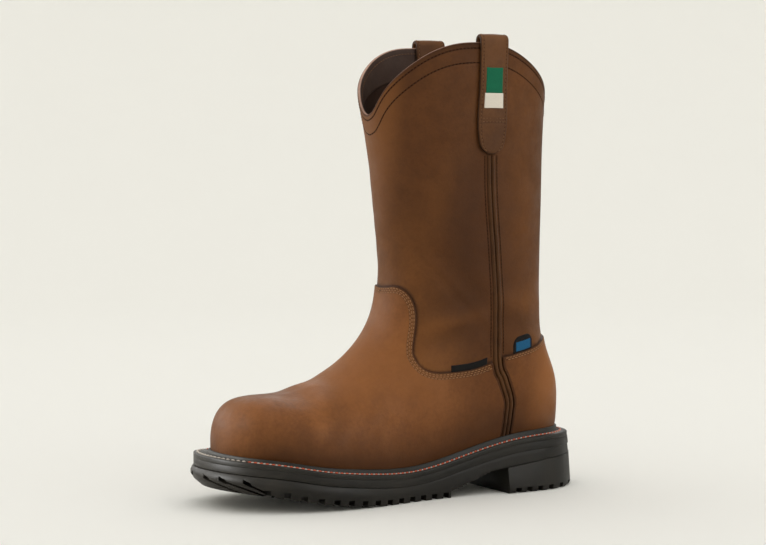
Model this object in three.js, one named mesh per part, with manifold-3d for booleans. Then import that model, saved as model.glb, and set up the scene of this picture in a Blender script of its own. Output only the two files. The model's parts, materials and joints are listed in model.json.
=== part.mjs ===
// A western work boot for the left foot, standing empty on its own sole.
// Millimetres, +Z up, the toe towards -Y and the lateral side towards +X.
// The origin is on the floor, under the middle of the heel's tread.
import * as THREE from 'three';
import { mergeVertices } from 'three/addons/utils/BufferGeometryUtils.js';
import Module from 'manifold-3d';

const wasm = await Module();
wasm.setup();

// Sizes of the last
const lastLength = 281;
const ballWidth = 94;
const instepHeight = 108;
const heelTip = 27.5;
const heelRise = 20.1;
const toeSpring = 13.7;

// Sizes of the shaft
const collarHeight = 342;
const shaftWidth = 103;
const collarDip = 54;

// Leather
const wall = 2.4;
const overlay = 1.4;
const seamRaise = 2.0;
const seamWidth = 7;
const gap = 0.3;

// Pull straps
const strapWidth = 25;
const strapThickness = 3.2;
const strapDrop = 85;
const strapInnerDrop = 62;
const strapRise = 7.3;
const strapLiningGap = 1.0;
const strapPlace = 0.287;

// Sole
const outsoleThickness = 12.2;
const midsoleThickness = 5.4;
const weltThickness = 4.1;
const weltMargin = 10;
const weltTuck = 7;
const lipHeight = 2.8;
const lipThickness = 1.6;
const lipSpread = 0.6;
const lipEase = 0.1;
const bumper = 1.5;
const bumperLow = 0.2;
const bumperHeight = 0.55;
const heelBlock = 26;
const heelFlare = 5.5;
const heelBevel = 2.0;
const heelBreast = 0.2224;
const treadEnd = 0.398;
const insoleThickness = 3.5;
const insoleClearance = 0.6;

// Lugs
const lugPitch = 11;
const lugNotch = 5;
const lugDepth = 4.2;
const lugInset = 13;
const lugFirst = 0.418;
const lugLast = 0.85;
const heelNotch = 4.5;
const heelNotchDepth = 2.8;
const heelLugPitch = 10.5;
const heelLugFirst = 0.045;
const heelLugLast = 0.195;
const grooveWidth = 5;
const grooveLength = 30;
const grooveTurn = 0.45;
const groovePlace = 0.33;
const GROOVES = [0.46, 0.54, 0.62, 0.7, 0.78, 0.86];

// The last's edge seen from above. The turn goes from the heel tip, 0 degrees, to the toe tip, 180.
// Half widths are shares of the ball width, and the welt's margin is a share of weltMargin.
const LAST_OUTLINE = table(['turn', 'lateral', 'medial', 'margin'], [
  [0, 0.0, 0.0, 1.0],
  [15, 0.149, 0.149, 1.0],
  [30, 0.273, 0.273, 1.0],
  [45, 0.33, 0.335, 1.0],
  [60, 0.34, 0.33, 0.97],
  [75, 0.345, 0.294, 0.95],
  [90, 0.392, 0.299, 0.95],
  [105, 0.479, 0.387, 1.0],
  [120, 0.521, 0.474, 1.05],
  [135, 0.479, 0.5, 1.12],
  [150, 0.366, 0.443, 1.25],
  [165, 0.196, 0.299, 1.45],
  [180, -0.052, 0.052, 1.62],
]);

// Heights along the sole, by the share of the last's length from the heel tip. The heel column is a share
// of heelRise, and the toe and tread columns are shares of toeSpring.
const SOLE_LINE = table(['along', 'heel', 'toe', 'tread'], [
  [0.0, 1.0, 0.0, 0.0],
  [0.1, 0.99, 0.0, 0.0],
  [0.2, 0.87, 0.0, 0.0],
  [0.3, 0.58, 0.0, 0.0],
  [0.4, 0.235, 0.0, 0.0],
  [0.5, 0.01, 0.0, 0.0],
  [0.6, 0.0, 0.03, 0.0],
  [0.7, 0.0, 0.22, 0.13],
  [0.8, 0.0, 0.48, 0.38],
  [0.9, 0.0, 0.85, 0.75],
  [1.0, 0.0, 1.1, 1.0],
]);

// The outsole's underside from the tread's end back over the heel block, as shares of heelBlock
const ARCH_LINE = table(['along', 'height'], [
  [treadEnd, 0.2],
  [0.385, 0.235],
  [0.33, 0.45],
  [0.275, 0.68],
  [heelBreast, 0.76],
  [0.1, 0.92],
  [0.0, 0.99],
  [-0.08, 1.02],
]);

// Sections over the foot, from the toe tip to the throat. Base and crown are shares of the last's length
// from the heel tip, rise is the crown's height over the feather line as a share of instepHeight, widest is
// the share of the section's height where it is widest, swell is what it gains there on the last's edge and
// ridge the crown's sideways place, both as shares of the ball width. Lower and upper are the powers of its
// rounded sides.
const FOOT_SECTIONS = table(['base', 'crown', 'rise', 'widest', 'swell', 'lower', 'upper', 'ridge'], [
  [1.0, 1.0, 0.024, 0.2, 0.0, 2.4, 2.4, -0.052],
  [0.9965, 0.997, 0.14, 0.2, 0.005, 2.4, 2.4, -0.053],
  [0.986, 0.988, 0.231, 0.2, 0.013, 2.4, 2.4, -0.053],
  [0.965, 0.969, 0.315, 0.22, 0.019, 2.4, 2.5, -0.053],
  [0.931, 0.937, 0.377, 0.25, 0.023, 2.4, 2.55, -0.053],
  [0.883, 0.888, 0.419, 0.27, 0.027, 2.4, 2.55, -0.055],
  [0.821, 0.83, 0.465, 0.28, 0.027, 2.4, 2.5, -0.064],
  [0.752, 0.762, 0.524, 0.28, 0.027, 2.4, 2.35, -0.074],
  [0.677, 0.69, 0.615, 0.28, 0.027, 2.3, 2.2, -0.074],
  [0.598, 0.63, 0.736, 0.3, 0.035, 2.3, 2.1, -0.064],
  [0.512, 0.578, 0.878, 0.32, 0.054, 2.2, 2.1, -0.053],
  [0.423, 0.544, 1.0, 0.36, 0.078, 2.2, 2.1, -0.032],
  [0.326, 0.527, 1.094, 0.39, 0.09, 2.2, 2.1, -0.021],
  [0.23, 0.523, 1.179, 0.41, 0.093, 2.2, 2.1, -0.011],
  [0.144, 0.525, 1.271, 0.42, 0.111, 2.15, 2.1, 0.0],
]);

// Sections round the heel and the shaft. Back and front are shares of the last's length from the heel tip,
// stand is the back's height over the seat as a share of the shaft's (the first four rows stay on the feather
// line), rise is the front's height over the throat as a share of the way to the collar, widest is the share
// of the section where it is widest, half is its half width as a share of shaftWidth.
const SHAFT_SECTIONS = table(['back', 'stand', 'front', 'rise', 'widest', 'half', 'lower'], [
  [0.081, 0.0, 0.53, 0.064, 0.42, 0.413, 2.1],
  [0.035, 0.0, 0.533, 0.111, 0.42, 0.418, 2.0],
  [0.009, 0.0, 0.536, 0.15, 0.42, 0.423, 1.95],
  [0.0, 0.0, 0.539, 0.187, 0.42, 0.427, 1.95],
  [-0.001, 0.058, 0.541, 0.228, 0.42, 0.427, 2.1],
  [0.008, 0.125, 0.544, 0.275, 0.43, 0.432, 2.2],
  [0.034, 0.191, 0.546, 0.324, 0.44, 0.432, 2.2],
  [0.05, 0.265, 0.549, 0.373, 0.45, 0.432, 2.2],
  [0.054, 0.342, 0.551, 0.422, 0.46, 0.437, 2.2],
  [0.053, 0.425, 0.555, 0.476, 0.47, 0.442, 2.2],
  [0.051, 0.512, 0.56, 0.531, 0.48, 0.447, 2.2],
  [0.048, 0.599, 0.566, 0.592, 0.49, 0.451, 2.2],
  [0.045, 0.693, 0.573, 0.658, 0.5, 0.461, 2.15],
  [0.04, 0.793, 0.583, 0.737, 0.5, 0.471, 2.1],
  [0.033, 0.9, 0.593, 0.85, 0.5, 0.485, 2.1],
  [0.026, 1.0, 0.602, 1.0, 0.5, 0.5, 2.1],
]);
const shaftUpper = 2.1;

// The collar's drop below its highest point, as a share of collarDip, by the share of the way round from
// the front to the back
const COLLAR = table(['round', 'drop'], [
  [0.0, 1.0],
  [0.04, 0.95],
  [0.1, 0.72],
  [0.2, 0.38],
  [0.3, 0.14],
  [0.4, 0.02],
  [0.47, 0.0],
  [0.55, 0.015],
  [0.65, 0.125],
  [0.75, 0.31],
  [0.85, 0.54],
  [0.95, 0.78],
  [1.0, 0.82],
]);

// The vamp's upper edge seen from the side, from in front of the throat back to the side seam. Along is a
// share of the last's length from the heel tip, and height a share of instepHeight over the ball's feather.
const VAMP_EDGE = table(['along', 'height'], [
  [0.6, 1.262],
  [0.527, 1.266],
  [0.513, 1.268],
  [0.497, 1.215],
  [0.4865, 1.13],
  [0.486, 1.03],
  [0.4985, 0.86],
  [0.4985, 0.783],
  [0.48, 0.695],
  [0.445, 0.654],
  [0.399, 0.651],
  [0.32, 0.672],
  [0.254, 0.73],
]);

// The counter's upper edge, from the side seam to behind the heel, in the same shares
const COUNTER_EDGE = table(['along', 'height'], [
  [0.254, 0.732],
  [0.2, 0.762],
  [0.147, 0.793],
  [0.062, 0.864],
  [-0.05, 0.93],
]);

// The middle of the side seam, from under the strap down to the feather line. Along is a share of the last's
// length from the heel tip, and stand a share of the shaft's height over the seat.
const SIDE_SEAM = table(['along', 'stand'], [
  [0.287, 0.8],
  [0.285, 0.71],
  [0.281, 0.611],
  [0.268, 0.478],
  [0.259, 0.356],
  [0.254, 0.197],
  [0.234, 0.149],
  [0.2105, 0.094],
  [0.2095, 0.0575],
  [0.21, 0.013],
  [0.2135, -0.06],
]);

// A pull strap's half width at shares of the way up its outer leg, as a share of half of strapWidth
const STRAP_TIP = table(['up', 'half'], [
  [0.0, 0.22],
  [0.03, 0.58],
  [0.09, 0.86],
  [0.18, 0.98],
  [0.5, 1.0],
  [1.0, 1.0],
]);
const STRAP_LEG = [0, 0.03, 0.09, 0.18, 0.35, 0.5, 0.65, 0.8, 0.9, 1];
const STRAP_INNER_LEG = [0, 0.25, 0.5, 0.75, 1];
const STRAP_ACROSS = [-1, -0.5, 0, 0.5, 1];
const strapTurnSteps = 6;

// How finely the faceted solids are cut
const evenColumns = 9;
const evenReach = 0.9;
const nearBase = 0.965;
const ROWS = [0, 0.5, 1, 2, 3, 4, 5, 6, 7, 8, 9, 10, 11, 12, 13, 14, 15, 16, 16.5, 17, 17.5, 18];
const SHAFT_ROWS = [19, 20, 21, 22.3, 23.7, 25, 26.3, 27.6, 28.8, 30];
const heelRow = 18;
const middleRow = 10;
const pastTip = 0.03;
const lastRow = 30;
const collarBlendRow = 23;
const sectionSteps = 40;
const overlayRows = 5;
const seamSteps = 14;
const vampEdgeSteps = 24;
const counterEdgeSteps = 6;

const BROWN = new THREE.Color(0x6b4930);
const DARK_BROWN = new THREE.Color(0x4d3626);
const BLACK_RUBBER = new THREE.Color(0x26262a);
const TAN = new THREE.Color(0x8a6a4a);

function table(columns, rows) {
  return rows.map((row) => Object.fromEntries(columns.map((name, i) => [name, row[i]])));
}

// A natural cubic spline through the points, straight beyond its ends
function spline(xs, ys) {
  const n = xs.length;
  const bend = new Array(n).fill(0);
  const carry = new Array(n).fill(0);
  for (let i = 1; i < n - 1; i++) {
    const before = xs[i] - xs[i - 1];
    const after = xs[i + 1] - xs[i];
    const turn = (ys[i + 1] - ys[i]) / after - (ys[i] - ys[i - 1]) / before;
    const pivot = 2 * (before + after) - before * carry[i - 1];
    carry[i] = after / pivot;
    bend[i] = (6 * turn - before * bend[i - 1]) / pivot;
  }
  for (let i = n - 2; i > 0; i--) {
    bend[i] -= carry[i] * bend[i + 1];
  }
  return (x) => {
    let i = 0;
    while (i < n - 2 && x > xs[i + 1]) i++;
    const width = xs[i + 1] - xs[i];
    const inside = Math.min(Math.max(x, xs[0]), xs[n - 1]);
    const b = (inside - xs[i]) / width;
    const a = 1 - b;
    const curve = ((a ** 3 - a) * bend[i] + (b ** 3 - b) * bend[i + 1]) * width * width / 6;
    const slope = (ys[i + 1] - ys[i]) / width
      + ((3 * b * b - 1) * bend[i + 1] - (3 * a * a - 1) * bend[i]) * width / 6;
    return a * ys[i] + b * ys[i + 1] + curve + slope * (x - inside);
  };
}

function columnSpline(rows, key, value) {
  return spline(rows.map((row) => row[key]), rows.map((row) => row[value]));
}

const mix = (a, b, share) => a + (b - a) * share;
const toRadians = Math.PI / 180;

// The last's outline as one closed curve: lateral from 0 to 180 degrees, medial from 180 to 360
const wrap = 3;
const lateralSide = LAST_OUTLINE.map((row) => [row.turn, row.lateral, row.margin]);
const medialRows = LAST_OUTLINE.slice(1, -1).reverse();
const medialSide = medialRows.map((row) => [360 - row.turn, -row.medial, row.margin]);
const oneTurn = [...lateralSide, ...medialSide];
const wrapped = [
  ...oneTurn.slice(-wrap).map(([turn, x, margin]) => [turn - 360, x, margin]),
  ...oneTurn,
  ...oneTurn.slice(0, wrap + 1).map(([turn, x, margin]) => [turn + 360, x, margin]),
];
const outlineShare = spline(wrapped.map((row) => row[0]), wrapped.map((row) => row[1]));
const marginShare = spline(wrapped.map((row) => row[0]), wrapped.map((row) => row[2]));

function lastPoint(turn) {
  return [ballWidth * outlineShare(turn), heelTip - lastLength * (1 - Math.cos(turn * toRadians)) / 2];
}

// A point of the last's edge, moved outwards by a margin
function edgePoint(turn, margin) {
  const step = 0.5;
  const [x0, y0] = lastPoint(turn - step);
  const [x1, y1] = lastPoint(turn + step);
  const length = Math.hypot(x1 - x0, y1 - y0);
  const [x, y] = lastPoint(turn);
  return [x - margin * (y1 - y0) / length, y + margin * (x1 - x0) / length];
}

const turnAt = (along) => Math.acos(1 - 2 * Math.min(Math.max(along, 0), 1)) / toRadians;
const placeAt = (along) => heelTip - lastLength * along;
const shareOf = (y) => (heelTip - y) / lastLength;

// Heights along the sole
const weltTopAtBall = outsoleThickness + midsoleThickness + weltThickness + 2 * gap;
const heelShare = columnSpline(SOLE_LINE, 'along', 'heel');
const toeShare = columnSpline(SOLE_LINE, 'along', 'toe');
const treadShare = columnSpline(SOLE_LINE, 'along', 'tread');
const weltTop = (along) => weltTopAtBall + heelRise * heelShare(along) + toeSpring * toeShare(along);
const weltBottom = (along) => weltTop(along) - weltThickness;
const midsoleTop = (along) => weltBottom(along) - gap;
const midsoleBottom = (along) => midsoleTop(along) - midsoleThickness;
const outsoleTop = (along) => midsoleBottom(along) - gap;
const lastFlat = 0.62;
const tread = (along) => (along < lastFlat ? 0 : Math.max(0, toeSpring * treadShare(along)));
const feather = (along) => weltTop(along) + gap;
const seat = feather(0);
const ballFeather = weltTopAtBall + gap;
const standing = (share) => seat + (collarHeight - seat) * share;

// The rows of both section tables, in millimetres
function sectionRows() {
  const foot = FOOT_SECTIONS.map((row) => {
    const turn = turnAt(row.base);
    const half = (lastPoint(turn)[0] - lastPoint(360 - turn)[0]) / 2;
    return {
      along: row.base, baseZ: feather(row.base), crownY: placeAt(row.crown),
      crownZ: feather(row.base) + instepHeight * row.rise, widest: row.widest,
      half: half + ballWidth * row.swell, lower: row.lower, upper: row.upper, ridge: ballWidth * row.ridge,
    };
  });
  const throatZ = foot[foot.length - 1].crownZ;
  const shaft = SHAFT_SECTIONS.map((row, i) => ({
    along: row.back, baseZ: i < 4 ? feather(row.back) : standing(row.stand), crownY: placeAt(row.front),
    crownZ: mix(throatZ, collarHeight, row.rise), widest: row.widest, half: shaftWidth * row.half,
    lower: row.lower, upper: shaftUpper, ridge: 0,
  }));
  return [...foot, ...shaft];
}

const rows = sectionRows();
const rowNumbers = rows.map((_, i) => i);
const rowSplines = Object.fromEntries(Object.keys(rows[0]).map(
  (key) => [key, spline(rowNumbers, rows.map((row) => row[key]))]));

// One section: its base, crown and the shape between them
function sectionAt(v) {
  const row = Object.fromEntries(Object.entries(rowSplines).map(([key, curve]) => [key, curve(v)]));
  let baseHalf = 0;
  let baseCentre = 0;
  if (v <= heelRow) {
    const turn = turnAt(row.along);
    const lateral = lastPoint(turn)[0];
    const medial = lastPoint(360 - turn)[0];
    baseHalf = Math.max(0, (lateral - medial) / 2);
    baseCentre = (lateral + medial) / 2;
    row.baseZ = feather(Math.min(Math.max(row.along, 0), 1));
  }
  return { ...row, baseHalf, baseCentre, baseY: placeAt(row.along) };
}

// The section's line on one side, from the crown down to the base, with the length run so far
const lineCache = new Map();
function sectionLine(v, side) {
  const key = `${v.toFixed(6)}/${side}`;
  if (lineCache.has(key)) return lineCache.get(key);
  const s = sectionAt(v);
  const ratio = s.half > 0.05 ? Math.min(s.baseHalf / s.half, 0.999) : 0.95;
  const cut = (1 - ratio ** s.lower) ** (1 / s.lower);
  const end = Math.asin(cut ** (s.lower / 2));
  const points = [];
  const put = (share, half) => {
    const centre = mix(s.baseCentre, s.ridge, share * share);
    points.push([centre + side * half, mix(s.baseY, s.crownY, share), mix(s.baseZ, s.crownZ, share)]);
  };
  for (let i = 0; i <= sectionSteps; i++) {
    const a = (Math.PI / 2) * i / sectionSteps;
    put(s.widest + (1 - s.widest) * Math.cos(a) ** (2 / s.upper), s.half * Math.sin(a) ** (2 / s.upper));
  }
  for (let i = 1; i <= sectionSteps; i++) {
    const a = end * i / sectionSteps;
    put(s.widest * (1 - Math.sin(a) ** (2 / s.lower) / cut), s.half * Math.cos(a) ** (2 / s.lower));
  }
  const run = [0];
  for (let i = 1; i < points.length; i++) {
    const [a, b] = [points[i - 1], points[i]];
    run.push(run[i - 1] + Math.hypot(b[0] - a[0], b[1] - a[1], b[2] - a[2]));
  }
  const line = { points, run };
  lineCache.set(key, line);
  return line;
}

// A point of the upper's outside: v counts the sections, u goes from the crown, 0, to the base, 1 on the
// lateral and -1 on the medial side
function surface(v, u) {
  const { points, run } = sectionLine(v, u < 0 ? -1 : 1);
  const target = Math.abs(u) * run[run.length - 1];
  let i = 1;
  while (i < run.length - 1 && run[i] < target) i++;
  const share = (target - run[i - 1]) / Math.max(run[i] - run[i - 1], 1e-9);
  return points[i - 1].map((value, k) => mix(value, points[i][k], share));
}

function oneNormal(v, u) {
  const dv = 0.01;
  const du = 0.03;
  const side = u < 0 ? -1 : 1;
  const u0 = side * Math.max(Math.abs(u) - du, 0);
  const u1 = side * Math.min(Math.abs(u) + du, 1);
  const along = new THREE.Vector3(...surface(Math.min(v + dv, lastRow), u))
    .sub(new THREE.Vector3(...surface(Math.max(v - dv, 0), u)));
  let across = new THREE.Vector3(...surface(v, u1)).sub(new THREE.Vector3(...surface(v, u0)));
  if (u === 0) {
    across = new THREE.Vector3(...surface(v, du)).sub(new THREE.Vector3(...surface(v, -du)));
  }
  return across.cross(along).multiplyScalar(u === 0 ? 1 : side).normalize();
}

// The way out of the last's edge, level with the floor
function edgeNormal(turn) {
  const [x0, y0] = edgePoint(turn, 0);
  const [x1, y1] = edgePoint(turn, 1);
  return new THREE.Vector3(x1 - x0, y1 - y0, 0);
}

// The way out of the upper at a point. Both sides share it where they meet, and on the feather line it is
// the last's own.
function normalAt(v, u) {
  if (v <= heelRow && Math.abs(u) === 1) {
    const turn = turnAt(sectionAt(v).along);
    return edgeNormal(u > 0 ? turn : 360 - turn);
  }
  const row = Math.max(v, pastTip);
  const n = oneNormal(row, u);
  if (v === 0 || Math.abs(u) === 1) {
    n.add(oneNormal(row, -u));
    n.x = 0;
  }
  return n.normalize();
}

const solverSteps = 30;
const middleShaftRow = 24;
const collarDrop = columnSpline(COLLAR, 'round', 'drop');
const collarZ = (u) => collarHeight - collarDip * collarDrop(Math.abs(u));

// The section number at which a column reaches the collar
function collarRow(u) {
  let low = collarBlendRow;
  let high = lastRow;
  for (let i = 0; i < solverSteps; i++) {
    const middle = (low + high) / 2;
    if (surface(middle, u)[2] < collarZ(u)) low = middle;
    else high = middle;
  }
  return (low + high) / 2;
}

function rowOnColumn(v, u) {
  if (v <= collarBlendRow) return v;
  return mix(collarBlendRow, collarRow(u), (v - collarBlendRow) / (lastRow - collarBlendRow));
}

function offsetPoint(v, u, distance) {
  const row = rowOnColumn(v, u);
  const n = normalAt(row, u);
  const point = surface(row, u).map((value, i) => value + distance * n.getComponent(i));
  if (v <= heelRow && Math.abs(u) === 1) point[2] = feather(shareOf(point[1]));
  return point;
}

// A closed mesh from loose points and triangles, turned the right way out
function closedMesh(points, triangles) {
  const loose = new THREE.BufferGeometry();
  loose.setAttribute('position', new THREE.Float32BufferAttribute(points.flat(), 3));
  loose.setIndex(triangles.flat());
  const merged = mergeVertices(loose, 1e-4);
  const index = Array.from(merged.getIndex().array);
  const kept = [];
  for (let i = 0; i < index.length; i += 3) {
    const [a, b, c] = index.slice(i, i + 3);
    if (a !== b && b !== c && c !== a) kept.push(a, b, c);
  }
  merged.setIndex(kept);
  if (volumeOf(merged) < 0) {
    for (let i = 0; i < kept.length; i += 3) [kept[i], kept[i + 1]] = [kept[i + 1], kept[i]];
    merged.setIndex(kept);
  }
  return merged;
}

function volumeOf(geometry) {
  const position = geometry.getAttribute('position');
  const index = geometry.getIndex().array;
  const [a, b, c] = [new THREE.Vector3(), new THREE.Vector3(), new THREE.Vector3()];
  let volume = 0;
  for (let i = 0; i < index.length; i += 3) {
    a.fromBufferAttribute(position, index[i]);
    b.fromBufferAttribute(position, index[i + 1]);
    c.fromBufferAttribute(position, index[i + 2]);
    volume += a.dot(b.cross(c)) / 6;
  }
  return volume;
}

// A solid from two sheets of points with the same rows and columns, with rims along its edges. Rows or
// columns that already meet each other need no rim. Turned says which patches are split the other way.
function solidBetween(outer, inner, startRim = true, sideRim = () => true, turned = () => false) {
  const points = [...outer.flat(), ...inner.flat()];
  const height = outer.length;
  const width = outer[0].length;
  const at = (sheet, i, j) => sheet * height * width + i * width + j;
  const triangles = [];
  const quad = (a, b, c, d) => triangles.push([a, b, c], [a, c, d]);
  for (let i = 0; i < height - 1; i++) {
    for (let j = 0; j < width - 1; j++) {
      const front = [at(0, i, j), at(0, i, j + 1), at(0, i + 1, j + 1), at(0, i + 1, j)];
      const back = [at(1, i, j), at(1, i + 1, j), at(1, i + 1, j + 1), at(1, i, j + 1)];
      if (turned(i, j)) for (const corners of [front, back]) corners.push(corners.shift());
      quad(...front);
      quad(...back);
    }
    if (!sideRim(i)) continue;
    for (const [j, flip] of [[0, false], [width - 1, true]]) {
      const corners = [at(0, i, j), at(0, i + 1, j), at(1, i + 1, j), at(1, i, j)];
      quad(...(flip ? corners.reverse() : corners));
    }
  }
  for (let j = 0; j < width - 1; j++) {
    for (const [i, flip] of [[0, true], [height - 1, false]]) {
      if (i === 0 && !startRim) continue;
      const corners = [at(0, i, j), at(0, i, j + 1), at(1, i, j + 1), at(1, i, j)];
      quad(...(flip ? corners.reverse() : corners));
    }
  }
  return closedMesh(points, triangles);
}

// The upper's form between two distances from its outside, from the toe to the collar. At the toe tip the
// two sides close on each other, so that row needs no rim of its own.
const oneSide = [];
for (let j = 1; j <= evenColumns; j++) oneSide.push(evenReach * j / evenColumns);
oneSide.push(nearBase, 1);
const COLUMNS = [...oneSide.map((u) => -u).reverse(), 0, ...oneSide];
function wallBetween(low, high, rowList) {
  const sheet = (distance) => rowList.map((v) => COLUMNS.map((u) => offsetPoint(v, u, distance)));
  const turned = (i, j) => (rowList[i] < middleRow) !== (COLUMNS[j] >= 0);
  return solidBetween(sheet(high), sheet(low), false, (i) => rowList[i + 1] <= heelRow, turned);
}

function toSolid(geometry) {
  return new wasm.Manifold(new wasm.Mesh({
    numProp: 3,
    vertProperties: new Float32Array(geometry.getAttribute('position').array),
    triVerts: new Uint32Array(geometry.getIndex().array),
  }));
}

function toGeometry(solid) {
  const mesh = solid.getMesh();
  const geometry = new THREE.BufferGeometry();
  geometry.setAttribute('position', new THREE.BufferAttribute(new Float32Array(mesh.vertProperties), 3));
  geometry.setIndex(Array.from(mesh.triVerts));
  return geometry;
}

function positionOnly(geometry) {
  geometry.deleteAttribute('normal');
  geometry.deleteAttribute('uv');
  return mergeVertices(geometry, 1e-4);
}

// A prism across the boot over an outline given as pairs of y and z
function prismAcross(outline, fromX, toX) {
  const shape = new THREE.Shape(outline.map(([y, z]) => new THREE.Vector2(y, z)));
  const geometry = new THREE.ExtrudeGeometry(shape, { depth: toX - fromX, bevelEnabled: false });
  const basis = new THREE.Matrix4().makeBasis(
    new THREE.Vector3(0, 1, 0), new THREE.Vector3(0, 0, 1), new THREE.Vector3(1, 0, 0));
  geometry.applyMatrix4(basis.setPosition(fromX, 0, 0));
  return toSolid(positionOnly(geometry));
}

// A block standing on its middle, turned about the vertical
function block([x, y, z], [sizeX, sizeY, sizeZ], turn) {
  const geometry = new THREE.BoxGeometry(sizeX, sizeY, sizeZ);
  geometry.rotateZ(turn);
  geometry.translate(x, y, z);
  return toSolid(positionOnly(geometry));
}

const reach = 400;

// The pull straps' turn over the collar and their outer tips
const strapInnerRadius = (wall + gap + strapLiningGap) / 2;
const strapTurnZ = collarHeight + strapRise - strapInnerRadius - strapThickness;
const strapTipZ = strapTurnZ - strapDrop;

// The side seam's middle line and the lines beside it, in the plane seen from the side
const seamMiddle = new THREE.SplineCurve(
  SIDE_SEAM.map((row) => new THREE.Vector2(placeAt(row.along), standing(row.stand))));
function seamLine(offset) {
  return seamMiddle.getPoints(seamSteps).map((point, i) => {
    const tangent = seamMiddle.getTangent(i / seamSteps);
    return [point.x - offset * tangent.y, point.y + offset * tangent.x];
  });
}

const vampHeight = (share) => ballFeather + instepHeight * share;
function sideCurve(edge, steps) {
  const points = edge.map((row) => new THREE.Vector2(placeAt(row.along), vampHeight(row.height)));
  return new THREE.SplineCurve(points).getPoints(steps).map((point) => [point.x, point.y]);
}

function makeUpper() {
  return wallBetween(-wall, 0, [...ROWS, ...SHAFT_ROWS]);
}

const LOW_ROWS = [...ROWS, ...SHAFT_ROWS.slice(0, overlayRows)];
const overlayForm = toSolid(wallBetween(gap, gap + overlay, LOW_ROWS));

// Whether a point of an edge is clear of a line at its own height, on the side that clear says
const nearHeight = 6;
function clearOf(line, [y, z], clear) {
  return line.every(([lineY, lineZ]) => Math.abs(lineZ - z) > nearHeight || clear(y, lineY));
}

function makeVamp() {
  const edge = sideCurve(VAMP_EDGE, vampEdgeSteps);
  const stop = seamLine(-seamWidth / 2 - gap);
  const inFront = edge.filter((point) => clearOf(stop, point, (y, lineY) => y < lineY));
  const lowest = inFront[inFront.length - 1][1];
  const down = stop.filter(([, z]) => z < lowest);
  const outline = [...inFront, ...down, [down[down.length - 1][0], -reach], [-reach, -reach],
    [-reach, edge[0][1]]];
  return toGeometry(overlayForm.intersect(prismAcross(outline, -reach, reach)));
}

function makeCounter() {
  const edge = sideCurve(COUNTER_EDGE, counterEdgeSteps);
  const stop = seamLine(seamWidth / 2 + gap);
  const behind = edge.filter((point) => clearOf(stop, point, (y, lineY) => y > lineY));
  const down = stop.filter(([, z]) => z < behind[0][1]);
  const outline = [...down.reverse(), ...behind, [reach, edge[edge.length - 1][1]], [reach, -reach],
    [down[0][0], -reach]];
  return toGeometry(overlayForm.intersect(prismAcross(outline, -reach, reach)));
}

const seamForm = toSolid(wallBetween(gap, gap + seamRaise, [...ROWS, ...SHAFT_ROWS]));

function makeSideSeam(side) {
  const front = seamLine(-seamWidth / 2);
  const back = seamLine(seamWidth / 2);
  const top = strapTipZ - gap;
  const outline = [...front, ...back.reverse()];
  const strip = side > 0 ? prismAcross(outline, 0, reach) : prismAcross(outline, -reach, 0);
  const below = prismAcross([[-reach, -reach], [reach, -reach], [reach, top], [-reach, top]], -reach, reach);
  return toGeometry(seamForm.intersect(strip).intersect(below));
}

// How far from the middle plane the upper's outside is at a given y and z, on one side
function placeOnSide(side, y, z) {
  const step = 0.01;
  let v = middleShaftRow;
  let u = 0.5;
  for (let i = 0; i < solverSteps; i++) {
    const [, y0, z0] = surface(v, side * u);
    const [, yv, zv] = surface(v + step, side * u);
    const [, yu, zu] = surface(v, side * (u + step));
    const [a, b, c, d] = [(yv - y0) / step, (yu - y0) / step, (zv - z0) / step, (zu - z0) / step];
    const det = a * d - b * c;
    v += ((y - y0) * d - (z - z0) * b) / det;
    u += ((z - z0) * a - (y - y0) * c) / det;
    v = Math.min(Math.max(v, 0), lastRow - 0.02);
    u = Math.min(Math.max(u, 0.02), 0.97);
  }
  return surface(v, side * u)[0] * side;
}

// A pull strap: down the outside, over the collar and down the inside
function makeStrap(side) {
  const middleY = placeAt(strapPlace);
  const half = columnSpline(STRAP_TIP, 'up', 'half');
  const face = (depth) => {
    const sheet = [];
    for (const share of STRAP_LEG) {
      const z = mix(strapTipZ, strapTurnZ, share);
      sheet.push(STRAP_ACROSS.map((t) => {
        const y = middleY + t * half(share) * strapWidth / 2;
        return [side * (placeOnSide(side, y, Math.min(z, collarHeight)) + gap + depth), y, z];
      }));
    }
    for (let i = 1; i < strapTurnSteps; i++) {
      const a = Math.PI * i / strapTurnSteps;
      sheet.push(STRAP_ACROSS.map((t) => {
        const y = middleY + t * strapWidth / 2;
        const centre = placeOnSide(side, y, collarHeight) + gap - strapInnerRadius;
        const radius = strapInnerRadius + depth;
        return [side * (centre + radius * Math.cos(a)), y, strapTurnZ + radius * Math.sin(a)];
      }));
    }
    for (const share of STRAP_INNER_LEG) {
      const z = strapTurnZ - strapInnerDrop * share;
      sheet.push(STRAP_ACROSS.map((t) => {
        const y = middleY + t * strapWidth / 2;
        const x = placeOnSide(side, y, Math.min(z, collarHeight)) - wall - strapLiningGap - depth;
        return [side * x, y, z];
      }));
    }
    return sheet;
  };
  return solidBetween(face(strapThickness), face(0));
}

// The sole's stations are the upper's own sections from toe to heel, so their facets agree
const STATIONS = ROWS.map((v) => Math.min(Math.max(rowSplines.along(v), 0), 1));
const beyond = 0.2;
const LINE_STATIONS = [-beyond, ...[...STATIONS].reverse(), 1 + beyond];
const marginAt = (turn) => weltMargin * marginShare(turn);

// A height along the sole as a line seen from the side, from behind the heel to in front of the toe
function sideLine(height) {
  return LINE_STATIONS.map((along) => [placeAt(along), height(along)]);
}

// What lies between two such lines
function between(low, high) {
  return prismAcross([...low, ...[...high].reverse()], -reach, reach);
}

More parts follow.
